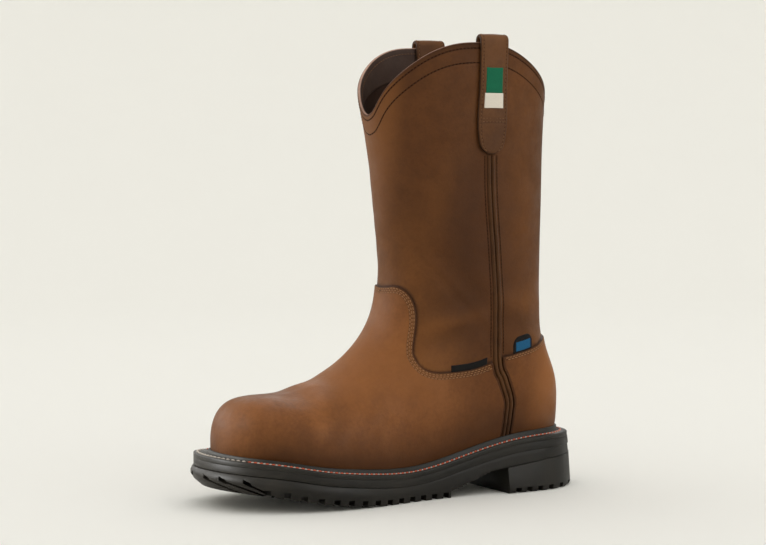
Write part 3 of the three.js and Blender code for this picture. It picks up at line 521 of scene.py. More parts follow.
def curve_points(control, steps):
    """A Catmull-Rom curve through control points, as in the solids"""
    control = np.asarray(control, float)
    n = len(control)
    out = []
    for k in range(steps + 1):
        at = (n - 1) * k / steps
        i = min(int(at), n - 2)
        t = at - i
        p0 = control[max(i - 1, 0)]
        p1 = control[i]
        p2 = control[i + 1]
        p3 = control[min(i + 2, n - 1)]
        m1 = (p2 - p0) / 2
        m2 = (p3 - p1) / 2
        out.append((2 * t ** 3 - 3 * t ** 2 + 1) * p1 + (t ** 3 - 2 * t ** 2 + t) * m1
                   + (-2 * t ** 3 + 3 * t ** 2) * p2 + (t ** 3 - t ** 2) * m2)
    return np.array(out)


def resample(line, step):
    """Points at even distances along a line, its two ends kept"""
    line = np.asarray(line, float)
    run = np.concatenate([[0], np.cumsum(np.linalg.norm(np.diff(line, axis=0), axis=1))])
    count = max(2, int(round(run[-1] / step)) + 1)
    at = np.linspace(0, run[-1], count)
    return np.stack([np.interp(at, run, line[:, k]) for k in range(line.shape[1])], axis=1)


def side_curve(edge):
    return curve_points(np.stack([place_at(edge[:, 0]), BALL_FEATHER + INSTEP * edge[:, 1]], axis=1), 120)


SEAM_MIDDLE = resample(curve_points(np.stack([place_at(SIDE_SEAM[:, 0]), standing(SIDE_SEAM[:, 1])], axis=1), 120), 1.0)


def beside(line, offset):
    tangent = np.gradient(line, axis=0)
    tangent /= np.linalg.norm(tangent, axis=1, keepdims=True)
    return line + offset * np.stack([-tangent[:, 1], tangent[:, 0]], axis=1)


def seam_line(offset):
    return beside(SEAM_MIDDLE, offset)


def locate_seam(z):
    """The seam's place at a height"""
    order = np.argsort(SEAM_MIDDLE[:, 1])
    return np.interp(z, SEAM_MIDDLE[order, 1], SEAM_MIDDLE[order, 0])


def line_distance(points, line):
    """The distance of each point from a line"""
    start = line[:-1]
    step = np.diff(line, axis=0)
    length = np.maximum((step ** 2).sum(1), 1e-12)
    out = np.zeros(len(points))
    for k in range(0, len(points), 4000):
        p = points[k:k + 4000, None, :]
        t = np.clip(((p - start) * step).sum(2) / length, 0, 1)
        out[k:k + 4000] = np.sqrt((((start + t[..., None] * step) - p) ** 2).sum(2).min(1))
    return out


def inside_polygon(points, polygon):
    x, y = points[:, 0], points[:, 1]
    inside = np.zeros(len(points), bool)
    for (x0, y0), (x1, y1) in zip(polygon, np.roll(polygon, -1, axis=0)):
        crosses = (y0 > y) != (y1 > y)
        if y1 != y0:
            inside ^= crosses & (x < (x1 - x0) * (y - y0) / (y1 - y0) + x0)
    return inside


def split_at(values, extra, faces, level):
    """Splits the triangles that cross a level, so that the level runs along edges. Extra holds what each
    vertex carries."""
    above = values > level
    count = above[faces].sum(1)
    whole = faces[(count == 0) | (count == 3)]
    cut = faces[(count == 1) | (count == 2)]
    if not len(cut):
        return values, extra, faces
    lone = above[cut] == (above[cut].sum(1) == 1)[:, None]
    turn = np.argmax(lone, axis=1)
    pick = (turn[:, None] + np.arange(3)) % 3
    a, b, c = np.take_along_axis(cut, pick, axis=1).T
    edges = np.sort(np.concatenate([np.stack([a, b], 1), np.stack([a, c], 1)]), axis=1)
    unique, index = np.unique(edges, axis=0, return_inverse=True)
    index = index.ravel()
    share = (level - values[unique[:, 0]]) / (values[unique[:, 1]] - values[unique[:, 0]])
    new_extra = extra[unique[:, 0]] + (extra[unique[:, 1]] - extra[unique[:, 0]]) * share[:, None]
    first = len(values)
    p = first + index[:len(a)]
    q = first + index[len(a):]
    made = np.concatenate([np.stack([a, p, q], 1), np.stack([p, b, c], 1), np.stack([p, c, q], 1)])
    return (np.concatenate([values, np.full(len(unique), float(level))]), np.concatenate([extra, new_extra]),
            np.concatenate([whole, made]))


def grid_faces(rows, columns, closed=False):
    i, j = np.meshgrid(np.arange(rows - 1), np.arange(columns if closed else columns - 1), indexing="ij")
    right = (j + 1) % columns
    a = i * columns + j
    b = i * columns + right
    c = (i + 1) * columns + right
    d = (i + 1) * columns + j
    return np.stack([a, b, c, d], axis=-1).reshape(-1, 4)


def to_triangles(quads):
    return np.concatenate([quads[:, [0, 1, 2]], quads[:, [0, 2, 3]]])


def make_object(name, points, faces, material, values=None, flat=False):
    mesh = bpy.data.meshes.new(name)
    mesh.from_pydata((np.asarray(points) * MM).tolist(), [], [list(map(int, face)) for face in faces])
    mesh.validate()
    for key, numbers in (values or {}).items():
        attribute = mesh.attributes.new(key, "FLOAT", "POINT")
        attribute.data.foreach_set("value", np.asarray(numbers, np.float32))
    if not flat:
        mesh.shade_smooth()
    mesh.materials.append(material)
    made = bpy.data.objects.new(name, mesh)
    bpy.context.scene.collection.objects.link(made)
    return made


def stands_for(piece, slot, *nodes):
    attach(piece, "root")
    if nodes:
        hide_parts(*nodes)
    return piece


class Nodes:
    """A material's node tree, with short ways to add and join nodes"""

    def __init__(self, name):
        self.material = bpy.data.materials.new(name)
        self.material.use_nodes = True
        self.tree = self.material.node_tree
        self.shader = self.tree.nodes["Principled BSDF"]

    def put(self, socket, value):
        if isinstance(value, bpy.types.NodeSocket):
            self.tree.links.new(value, socket)
        elif value is not None:
            socket.default_value = value

    def add(self, kind, inputs=(), output=0, **settings):
        node = self.tree.nodes.new(kind)
        for key, value in settings.items():
            setattr(node, key, value)
        for key, value in dict(inputs).items():
            self.put(node.inputs[key], value)
        return node.outputs[output]

    def places(self, scale=(1, 1, 1)):
        place = self.add("ShaderNodeTexCoord", output="Object")
        return self.add("ShaderNodeMapping", {"Vector": place, "Scale": scale})

    def noise(self, scale, detail=3.0, roughness=0.5, vector=None, distortion=0.0):
        return self.add("ShaderNodeTexNoise", {"Vector": vector or self.places(), "Scale": scale, "Detail": detail,
                                               "Roughness": roughness, "Distortion": distortion}, "Fac")

    def cells(self, scale, vector=None, feature="F1", randomness=1.0):
        return self.add("ShaderNodeTexVoronoi", {"Vector": vector or self.places(), "Scale": scale,
                                                 "Randomness": randomness}, "Distance", feature=feature)

    def math(self, operation, a, b=None):
        return self.add("ShaderNodeMath", {0: a, 1: b}, operation=operation)

    def ramp(self, value, low, high, to_low=0.0, to_high=1.0):
        return self.add("ShaderNodeMapRange", {"Value": value, "From Min": low, "From Max": high, "To Min": to_low,
                                               "To Max": to_high}, interpolation_type="SMOOTHSTEP")

    def blend(self, share, a, b, mode="MIX"):
        node = self.tree.nodes.new("ShaderNodeMix")
        node.data_type = "RGBA"
        node.blend_type = mode
        self.put(node.inputs[0], share)
        self.put(node.inputs[6], a)
        self.put(node.inputs[7], b)
        return node.outputs[2]

    def value(self, name):
        return self.add("ShaderNodeAttribute", output="Fac", attribute_name=name)

    def bump(self, height, distance, strength=1.0, normal=None):
        return self.add("ShaderNodeBump", {"Height": height, "Distance": distance, "Strength": strength,
                                           "Normal": normal}, "Normal")

    def set(self, **inputs):
        for key, value in inputs.items():
            self.put(self.shader.inputs[key.replace("_", " ")], value)
        return self.material


def colour(text):
    """A linear colour from a usual hex one"""
    numbers = [int(text[i:i + 2], 16) / 255 for i in (0, 2, 4)]
    return tuple(n / 12.92 if n <= 0.04045 else ((n + 0.055) / 1.055) ** 2.4 for n in numbers) + (1.0,)


def leather(name, dark, middle, light, edge_dark=0.8, gloss=0.5, sheen=0.12):
    """Oiled leather: cloudy pull-up colour, fine grain, painted shade at edges, in hollows and in grooves, and lighter
    wear with painted highlights
    """
    n = Nodes(name)
    clouds = n.noise(14, 5, 0.6, n.places((1, 1, 0.6)), distortion=0.2)
    broad = n.noise(6, 3, 0.5)
    specks = n.noise(420, 3, 0.6)
    pores = n.cells(900)
    base = n.blend(n.ramp(clouds, 0.36, 0.76, 0.0, 0.48), middle, light)
    base = n.blend(n.ramp(broad, 0.32, 0.6, 0.45, 0.0), base, dark)
    base = n.blend(n.ramp(n.noise(75, 4, 0.65), 0.42, 0.66, 0.0, 0.2), base, dark)
    base = n.blend(n.ramp(specks, 0.35, 0.75, 0.0, 0.2), base, dark)
    # Painted shade from the shade value, lighter wear and painted highlights from the next, painted shadow in grooves
    # and along panel edges from the one after
    base = n.blend(n.value("shade"), base, dark)
    base = n.blend(n.value("wear_and_highlight"), base, light)
    base = n.blend(n.math("MULTIPLY", n.value("ink"), 0.9), base, colour("2b170a"))
    # Darker within a millimetre of each edge: painted shade where parts meet and in the seam's gap
    base = n.blend(n.ramp(n.value("edge"), 0.15, 1.25, edge_dark, 0.0), base, colour("211207"))
    wrinkles = n.noise(150, 4, 0.6, n.places((1, 1, 1.6)), 0.8)
    grain = n.math("ADD", n.math("MULTIPLY", pores, 0.5), n.math("MULTIPLY", specks, 0.9))
    normal = n.bump(wrinkles, 0.00022, 0.5)
    normal = n.bump(grain, 0.00012, 0.55, normal)
    rough = n.ramp(n.noise(60, 4, 0.6), 0.3, 0.7, gloss, gloss + 0.16)
    return n.set(Base_Color=base, Roughness=rough, Normal=normal, Specular_IOR_Level=sheen)


def rubber(name, tone, light):
    """Moulded rubber with a fine matt texture"""
    n = Nodes(name)
    clouds = n.noise(40, 4, 0.6)
    fine = n.noise(1500, 2, 0.6)
    grit = n.noise(520, 3, 0.6)
    base = n.blend(n.ramp(clouds, 0.3, 0.75), tone, light)
    base = n.blend(n.ramp(grit, 0.45, 0.8, 0.0, 0.25), base, light)
    normal = n.bump(n.noise(180, 3, 0.6), 0.0003, 0.25)
    normal = n.bump(n.math("ADD", fine, grit), 0.00009, 0.5, normal)
    rough = n.ramp(clouds, 0.3, 0.7, 0.42, 0.56)
    return n.set(Base_Color=base, Roughness=rough, Normal=normal, Specular_IOR_Level=0.2)


def thread(name, tone, twist_scale=1400):
    n = Nodes(name)
    strands = n.noise(twist_scale, 2, 0.5, n.places((1, 1, 1)), 1.0)
    base = n.blend(n.ramp(strands, 0.35, 0.7, 0.0, 0.55), tone, tuple(c * 0.35 for c in tone[:3]) + (1.0,))
    return n.set(Base_Color=base, Roughness=0.6, Normal=n.bump(strands, 0.0001, 0.6), Specular_IOR_Level=0.05)


def cloth(name, tone, other, scale=1100):
    n = Nodes(name)
    wave_a = n.add("ShaderNodeTexWave", {"Vector": n.places(), "Scale": scale / 3}, "Fac", bands_direction="Y")
    wave_b = n.add("ShaderNodeTexWave", {"Vector": n.places(), "Scale": scale / 3}, "Fac", bands_direction="Z")
    weave = n.math("MULTIPLY", wave_a, wave_b)
    base = n.blend(n.ramp(weave, 0.1, 0.8), other, tone)
    return n.set(Base_Color=base, Roughness=0.85, Normal=n.bump(weave, 0.0001, 0.5), Specular_IOR_Level=0.15,
                 Sheen_Weight=0.05)


SHAFT_LEATHER = leather("shaft_leather", colour("331c0a"), colour("553216"), colour("724721"))
FOOT_LEATHER = leather("foot_leather", colour("371f0d"), colour("643b1b"), colour("84542d"))
STRAP_LEATHER = leather("strap_leather", colour("2f1c10"), colour("50321b"), colour("6d4727"))
SEAM_LEATHER = leather("seam_leather", colour("2a190d"), colour("56371c"), colour("70492a"), edge_dark=0.85)
# Near-black leather for the strips that paint the shadow along stitch rows
CREASE_SHADOW = leather("crease_shadow", colour("1b0f07"), colour("28170b"), colour("311d10"),
                         sheen=0.02)
LINING = leather("lining", colour("2a1911"), colour("452b1d"), colour("573a28"), gloss=0.6)
FACING = leather("facing", colour("261b16"), colour("3a2a22"), colour("4a382e"), gloss=0.5)
CUT_EDGE = leather("cut_edge", colour("4a2f1e"), colour("ac8d7d"), colour("c4a898"), edge_dark=0.0, gloss=0.6)
INSOLE_LEATHER = leather("insole_leather", colour("4f3926"), colour("7d6044"), colour("8f7154"))
WELT_RUBBER = rubber("welt_rubber", colour("15130f"), colour("211f1a"))
SOLE_RUBBER = rubber("sole_rubber", colour("12100c"), colour("1d1a15"))
TAN_THREAD = thread("tan_thread", colour("8c6746"))
BROWN_THREAD = thread("brown_thread", colour("6e4d35"))
DARK_THREAD = thread("dark_thread", colour("3f2817"))
PALE_THREAD = thread("pale_thread", colour("bdb3a8"))
ORANGE_THREAD = thread("orange_thread", colour("b9543a"))
GREEN_TAG = cloth("green_tag", colour("0f6b4a"), colour("0b4d36"))
WHITE_TAG = cloth("white_tag", colour("dcd5c8"), colour("b9b1a4"))
BLACK_TAG = cloth("black_tag", colour("14110f"), colour("0a0908"))
BLUE_TAG = cloth("blue_tag", colour("1b6089"), colour("113f5c"))


def vamp_polygon():
    edge = side_curve(VAMP_EDGE)
    stop = seam_line(-SEAM_WIDTH / 2 - GAP)
    edge = beside(edge, 1.8)
    edge[:, 1] -= 2.5 * smooth(-104, -120, edge[:, 0]) + 3.0 * smooth(-118, -126, edge[:, 0])
    front = np.array([p for p in edge if np.all((np.abs(stop[:, 1] - p[1]) > 2) | (p[0] < stop[:, 0]))])
    down = stop[stop[:, 1] < front[-1, 1]]
    border = np.concatenate([front, down])
    far = np.array([[down[-1, 0], -400], [-400, -400], [-400, edge[0, 1]]])
    return border, np.concatenate([border, far]), front


def counter_polygon():
    edge = side_curve(COUNTER_EDGE)
    stop = seam_line(SEAM_WIDTH / 2 + GAP)
    edge = beside(edge, 2.3)
    back = np.array([p for p in edge if np.all((np.abs(stop[:, 1] - p[1]) > 2) | (p[0] > stop[:, 0]))])
    down = stop[stop[:, 1] < back[0, 1]]
    border = np.concatenate([down[::-1], back])
    far = np.array([[400, back[-1, 1]], [400, -400], [down[-1, 0], -400]])
    return border, np.concatenate([border, far]), back


def crossing(us, line, low, high):
    """Where columns of the form meet a line that is given by its height over y"""
    order = np.argsort(line[:, 0])
    low = np.full(len(us), float(low))
    high = np.full(len(us), float(high))
    for _ in range(26):
        middle = (low + high) / 2
        p = sample(FORM, middle, us)
        under = p[:, 2] < np.interp(p[:, 1], line[order, 0], line[order, 1])
        low = np.where(under, middle, low)
        high = np.where(under, high, middle)
    return low


def course(top, side):
    """The v and u along a panel's top edge, from the front's middle or to the back's middle"""
    if top[0, 0] < -117:
        line = resample(top[top[:, 0] >= -116.5], 1.0)
        v, u = locate(side, line[:, 0], line[:, 1])
        first = np.linspace(0.001, abs(u[0]), 24)[:-1] * side
        return (np.concatenate([crossing(first, top[top[:, 0] < -112], 9, 20), v]), np.concatenate([first, u]))
    line = resample(top[top[:, 0] <= -2], 1.0)
    v, u = locate(side, line[:, 0], line[:, 1])
    last = np.linspace(abs(u[-1]), 0.999, 40)[1:] * side
    return np.concatenate([v, crossing(last, top, 14, 24)]), np.concatenate([u, last])


def edge_depth(points, border, polygon, top):
    """How far inside a panel each point is, along the leather; negative outside"""
    inside = inside_polygon(points[:, 1:], polygon)
    depth = line_distance(points[:, 1:], border)
    near = depth < 14
    down = border[border[:, 1] < top[:, 1].min() + 12] if top[0, 0] < -117 else border[border[:, 1] < top[0, 1]]
    down = down[np.abs(down[:, 0] - locate_seam(down[:, 1])) < SEAM_WIDTH]
    for side in (-1, 1):
        v, u = course(top, side)
        line = on_form(v, u, 0)
        v, u = locate(side, down[:, 0], down[:, 1])
        chosen = near & (points[:, 0] * side >= 0)
        along_seam = line_distance(points[chosen], on_form(v, u, 0)[np.argsort(down[:, 1])])
        depth[chosen] = np.minimum(line_distance(points[chosen], line), along_seam)
    return np.where(inside, depth, -depth)


def shade_values(points):
    """Painted shade in hollows and low places, and lighter places that mix wear with painted highlights"""
    x, y, z = points[:, 0], points[:, 1], points[:, 2]
    # Painted shade: the middle of the shaft, the low foot near the welt, the vamp's back and the toe's top
    shade = 0.35 * bump(z, 150, 70) * smooth(-100, -60, y) * smooth(10, -30, y)
    low = 1 - smooth(0, 46, z - feather(np.clip(share_of(y), 0, 1)))
    shade += 0.75 * low * smooth(-262, -222, y) * (1 - 0.35 * smooth(-25, -5, y))
    shade += 0.2 * (1 - smooth(0, 18, z - feather(np.clip(share_of(y), 0, 1))))
    shade += 0.28 * bump(y, -70, 26) * smooth(120, 200, z)
    shade += 0.22 * bump(y, -56, 30) * bump(z, 62, 30) * smooth(-24, -40, y)
    shade += 0.1 * bump(y, -215, 28) * smooth(58, 76, z)
    # Painted shade in the hollows of the creases
    shade -= 0.28 * crease_height(points)
    # Lighter: the toe and instep, and painted highlights on the counter, the shaft's front and the ridges of the
    # creases
    wear_and_highlight = 0.1 * smooth(-200, -245, y) * smooth(35, 60, z)
    wear_and_highlight += 0.45 * bump(z, 100, 34) * smooth(-70, -105, y) * smooth(-210, -165, y)
    wear_and_highlight += 0.75 * smooth(-24, 8, y) * bump(z, 88, 34)
    wear_and_highlight += 0.5 * smooth(-116, -130, y) * smooth(120, 160, z)
    wear_and_highlight += 0.3 * np.maximum(0, crease_height(points))
    return {"shade": np.clip(shade, 0, 0.8), "wear_and_highlight": np.clip(wear_and_highlight, 0, 0.75)}


def panel(name, slot, node, material, polygons, rows, stitched, thickness=OVERLAY, rounding=0.9):
    """A leather panel laid on the upper: cut along its border, rounded over there and grooved under its
    stitches, with painted shade in the grooves"""
    border, polygon, top = polygons
    vs = np.arange(rows[0], rows[1] + 1e-6, 0.1)
    us = np.linspace(-1, 1, 181)
    v, u = [a.ravel() for a in np.meshgrid(vs, us, indexing="ij")]
    faces = to_triangles(grid_faces(len(vs), len(us)))
    points = on_form(v, u, 0)
    depth = edge_depth(points, border, polygon, top)
    extra = np.stack([v, u], axis=1)
    levels = [0.0, 0.1, 0.3, rounding] + [row + part for row in stitched for part in (-0.4, 0.0, 0.4, 0.8)]
    for level in levels:
        depth, extra, faces = split_at(depth, extra, faces, level)
    faces = faces[(depth[faces] >= -1e-6).all(1)]
    used = np.unique(faces)
    renumber = np.zeros(len(depth), int)
    renumber[used] = np.arange(len(used))
    faces = renumber[faces]
    depth = depth[used]
    v, u = extra[used].T
    rise = np.sqrt(np.clip(1 - (1 - np.clip(depth / rounding, 0, 1)) ** 2, 0, 1))
    points = on_form(v, u, 0)
    rest = line_distance(points[:, 1:], border) < line_distance(points[:, 1:], top) - 0.05
    groove = bump(depth, stitched[0], 0.42)
    for row in stitched[1:]:
        groove += bump(depth, row, 0.42) * ~rest
    points = on_form(v, u, -0.2 + (GAP + 0.2 + thickness) * rise - 0.24 * groove)
    values = {"edge": depth, **shade_values(points)}
    # Painted shade in the stitch grooves
    values["ink"] = np.clip(groove, 0, 1)
    made = make_object(name, points, faces, material, values)
    return stands_for(made, slot, node)


def tree_of(made):
    mesh = made.data
    points = [vertex.co / MM for vertex in mesh.vertices]
    return BVHTree.FromPolygons(points, [tuple(p.vertices) for p in mesh.polygons])


def drop_on(tree, points, guides):
    """Puts points on a surface, with its outward normals"""
    places = []
    normals = []
    for point, guide in zip(points, guides):
        place, normal, _, _ = tree.find_nearest(Vector(point))
        if normal.dot(Vector(guide)) < 0:
            normal = -normal
        places.append(place)
        normals.append(normal)
    return np.array(places), np.array(normals)


def stitches(name, line, normals, material, length=2.3, pitch=2.9, radius=0.3, slant=0.0, sink=0.12,
             phase=0.0):
    """A row of stitches along a line on a surface, as one mesh"""
    line = np.asarray(line, float)
    run = np.concatenate([[0], np.cumsum(np.linalg.norm(np.diff(line, axis=0), axis=1))])
    count = max(2, int(run[-1] / pitch))
    at = (np.arange(count) + 0.5 + phase) * run[-1] / count
    at = at[at < run[-1] - 0.2 * pitch]
    count = len(at)
    middle = np.stack([np.interp(at, run, line[:, k]) for k in range(3)], axis=1)
    up = np.stack([np.interp(at, run, normals[:, k]) for k in range(3)], axis=1)
    ahead = np.stack([np.interp(at + 0.4, run, line[:, k]) for k in range(3)], axis=1)
    behind = np.stack([np.interp(at - 0.4, run, line[:, k]) for k in range(3)], axis=1)
    along = ahead - behind
    along -= up * (along * up).sum(1, keepdims=True)
    along /= np.maximum(np.linalg.norm(along, axis=1, keepdims=True), 1e-9)
    up /= np.linalg.norm(up, axis=1, keepdims=True)
    across = np.cross(up, along)
    tilt = math.radians(slant)
    along, across = along * math.cos(tilt) + across * math.sin(tilt), across * math.cos(tilt) - along * math.sin(tilt)
    steps = np.array([-0.5, -0.4, -0.15, 0.15, 0.4, 0.5])
    lift = np.array([-0.9, 0.05, 0.5, 0.5, 0.05, -0.9]) * radius - sink
    thick = np.array([0.5, 0.9, 1.0, 1.0, 0.9, 0.5]) * radius
    sides = 6
    angle = np.arange(sides) * 2 * math.pi / sides
    points = []
    for s, l, t in zip(steps, lift, thick):
        for a in angle:
            points.append(middle + along * s * length + up * (l + t * math.sin(a)) + across * t * math.cos(a))
    points = np.stack(points, axis=1).reshape(-1, 3)
    one = grid_faces(len(steps), sides, closed=True)
    caps = [list(range(sides))[::-1], list(range((len(steps) - 1) * sides, len(steps) * sides))]
    size = len(steps) * sides
    faces = []
    for k in range(count):
        faces.extend((one + k * size).tolist())
        faces.extend([[i + k * size for i in cap] for cap in caps])
    made = make_object(name, points, faces, material)
    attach(made, "root")
    return made


def shadow_line(name, line, normals, width=0.85):
    """A thin dark strip on the leather: the painted shadow of the narrow crease that a row of stitches pulls in"""
    tangent = np.gradient(line, axis=0)
    tangent /= np.maximum(np.linalg.norm(tangent, axis=1, keepdims=True), 1e-9)
    across = np.cross(normals, tangent)
    shares = np.array([-0.5, -0.25, 0.0, 0.25, 0.5])
    points = line[:, None] + across[:, None] * (shares * width)[None, :, None] + normals[:, None] * 0.03
    made = make_object(name, points.reshape(-1, 3), grid_faces(len(line), 5), CREASE_SHADOW,
                       {"edge": np.full(points.shape[0] * 5, 9.0)})
    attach(made, "root")
    return made


def line_on(tree, v, u, shift=0.0):
    """A line laid on a surface and moved sideways along it"""
    base = on_form(v, u, 1.0)
    guide = normal_at(v, u)
    tangent = np.gradient(base, axis=0)
    tangent /= np.maximum(np.linalg.norm(tangent, axis=1, keepdims=True), 1e-9)
    across = np.cross(guide, tangent)
    return drop_on(tree, base + across * shift, guide)


def make_upper():
    """The shaft leather, its cut edge at the collar, the lining and the facing inside"""
    us = np.unique(np.concatenate([np.linspace(-1, 1, 261), [-0.998, -0.995, 0.995, 0.998]]))
    vs = np.concatenate([np.arange(9, COLLAR_BLEND_ROW, 0.1), np.linspace(COLLAR_BLEND_ROW, LAST_ROW, 110)])
    v = column_rows(vs, us)
    u = np.broadcast_to(us, v.shape)
    points = on_form(v, u, 0)
    ridge = bump(np.abs(u), 1.0, 0.011) * smooth(90, 100, points[..., 2]) * smooth(200, 192, points[..., 2])
    points = on_form(v, u, 0.9 * ridge)
    flat = points.reshape(-1, 3)
    faces = grid_faces(len(vs), len(us))
    hidden = np.zeros(len(flat), bool)
    for border, polygon, _ in (VAMP_POLYGON, COUNTER_POLYGON):
        hidden |= inside_polygon(flat[:, 1:], polygon) & (line_distance(flat[:, 1:], border) > 3.5)
    faces = faces[~hidden[faces].all(1)]
    collar = COLLAR_HEIGHT - COLLAR_DIP * collar_drop(np.abs(u))
    values = {"edge": np.clip((collar - points[..., 2]).ravel() * 1.2, 0, 9), **shade_values(flat)}
    band = 0.35 * smooth(4.6, 3.2, collar - points[..., 2]) + 0.14 * smooth(16, 13, collar - points[..., 2])
    values["shade"] = np.clip(values["shade"] + (band + 0.7 * ridge).ravel(), 0, 0.95)
    # Painted shadow on the shaft along the top edges of the vamp and counter
    values["ink"] = np.zeros(len(flat))
    for _, _, top in (VAMP_POLYGON, COUNTER_POLYGON):
        near = line_distance(flat[:, 1:], top)
        values["ink"] = np.maximum(values["ink"], 0.9 * smooth(2.1, 0.5, near))
    shaft = make_object("shaft_outer", flat, faces, SHAFT_LEATHER, values)
    stands_for(shaft, "shaft_leather", "upper")

    top = v[-1]
    centre = on_form(top, us, -WALL / 2)
    out = normal_at(top, us)
    up = on_form(top, us, 0) - on_form(top - 0.15, us, 0)
    up -= out * (up * out).sum(1, keepdims=True)
    up /= np.linalg.norm(up, axis=1, keepdims=True)
    angle = np.linspace(0, math.pi, 11)[:, None, None]
    rim = centre + out * (WALL / 2) * np.cos(angle) + up * 0.8 * np.sin(angle)
    rim = np.concatenate([(on_form(top, us, 0) - up * 0.6)[None], rim, (on_form(top, us, -WALL) - up * 1.5)[None]])
    outer = np.array([1, 1, 1, 1, 0.75, 0.25, 0, 0, 0, 0, 0.2, 0.6, 1.0])
    values = {"edge": np.full(rim.shape[0] * len(us), 9.0), "shade": np.repeat(outer, len(us))}
    edge = make_object("collar_edge", rim.reshape(-1, 3), grid_faces(len(rim), len(us)), CUT_EDGE, values)
    stands_for(edge, "shaft_leather", "upper")

    us = np.linspace(-1, 1, 161)
    vs = np.concatenate([np.arange(0.3, COLLAR_BLEND_ROW, 0.25), np.linspace(COLLAR_BLEND_ROW, LAST_ROW, 50)])
    v = column_rows(vs, us)
    u = np.broadcast_to(us, v.shape)
    inner = on_form(v, u, -WALL).reshape(-1, 3)
    lining = make_object("lining", inner, grid_faces(len(vs), len(us))[:, ::-1], LINING)
    stands_for(lining, "shaft_leather", "upper")

    vs = np.linspace(29.05, LAST_ROW, 26)
    v = column_rows(vs, us)
    u = np.broadcast_to(us, v.shape)
    share = np.linspace(0, 1, 26)[:, None]
    depth = WALL + 0.8 * np.sqrt(np.clip(1 - (1 - np.clip(share / 0.05, 0, 1)) ** 2, 0, 1)) * np.ones_like(v)
    depth = depth - 0.5 * smooth(0.95, 1.0, share)
    inner = on_form(v, u, -depth).reshape(-1, 3)
    values = {"edge": (share * 25 * np.ones_like(v)).ravel()}
    facing = make_object("collar_facing", inner, grid_faces(len(vs), len(us))[:, ::-1], FACING, values)
    stands_for(facing, "shaft_leather", "upper")
    return shaft, facing


def collar_line(tree, drop, inside=False):
    """A line below the collar, all the way round"""
    us = np.linspace(-0.999, 0.999, 700)
    v = collar_rows(us)
    top = on_form(v, us, 0)
    below = on_form(v - 0.15, us, 0) - top
    below /= np.linalg.norm(below, axis=1, keepdims=True)
    guide = normal_at(v, us) * (-1 if inside else 1)
    return drop_on(tree, top + below * drop + guide * (WALL + 1 if inside else 0.5), guide)


def make_seam(name, side):
    """Two piped ridges with painted shade in the gap between them"""
    chosen = SEAM_MIDDLE[SEAM_MIDDLE[:, 1] < STRAP_TIP_Z - GAP]
    across = np.linspace(-SEAM_WIDTH / 2, SEAM_WIDTH / 2, 29)
    yz = np.stack([beside(chosen, a) for a in across], axis=1)
    v, u = locate(side, yz[..., 0], yz[..., 1])
    off = np.abs(across) - SEAM_WIDTH / 4
    ridge = np.sqrt(np.clip(1 - (off / (SEAM_WIDTH / 4 - 0.12)) ** 2, 0, 1))
    raised = -0.25 + (GAP + 1.75) * ridge
    raised = np.broadcast_to(raised, v.shape)
    points = on_form(v, u, raised)
    faces = grid_faces(len(chosen), len(across))
    if side > 0:
        faces = faces[:, ::-1]
    flat = points.reshape(-1, 3)
    values = shade_values(flat)
    # The edge value is low in the gap and at the outer edges, where the material paints shade
    values["edge"] = np.broadcast_to(ridge * 3, v.shape).ravel()
    made = make_object(name, flat, faces, SEAM_LEATHER, values)
    return stands_for(made, "shaft_leather", name)


STRAP_INNER_RADIUS = (WALL + GAP + STRAP_LINING_GAP) / 2
STRAP_TURN_Z = COLLAR_HEIGHT + STRAP_RISE - STRAP_INNER_RADIUS - STRAP_THICKNESS
STRAP_TIP_Z = STRAP_TURN_Z - STRAP_DROP
STRAP_Y = place_at(STRAP_PLACE)
STRAP_ROW = 2.2
STRAP_CROSS = (0.285, 0.315)
strap_half = spline(STRAP_TIP[:, 0], STRAP_TIP[:, 1])


def strap_places(side, run, t, depth):
    """Points of a pull strap: run goes from 0 at the outer tip over the turn, 1 to 2, to the inner end, 3"""
    run, t, depth = np.broadcast_arrays(np.asarray(run, float), t, depth)
    outer = run <= 1
    turning = (run > 1) & (run < 2)
    half = np.where(outer, strap_half(np.clip(run, 0, 1)), 1.0)
    y = STRAP_Y + t * half * STRAP_WIDTH / 2
    z = np.where(outer, mix(STRAP_TIP_Z, STRAP_TURN_Z, run), STRAP_TURN_Z - STRAP_INNER_DROP * (run - 2))
    z = np.where(turning, COLLAR_HEIGHT, z)
    v, u = locate(side, y, np.minimum(z, COLLAR_HEIGHT - 0.2))
    wall = np.abs(on_form(v, u, 0)[..., 0])
    angle = math.pi * np.clip(run - 1, 0, 1)
    radius = STRAP_INNER_RADIUS + depth
    x = np.where(outer, wall + GAP + depth, wall - WALL - STRAP_LINING_GAP - depth)
    x = np.where(turning, wall + GAP - STRAP_INNER_RADIUS + radius * np.cos(angle), x)
    z = np.where(turning, STRAP_TURN_Z + radius * np.sin(angle), z)
    return np.stack([side * x, y, z], axis=-1)


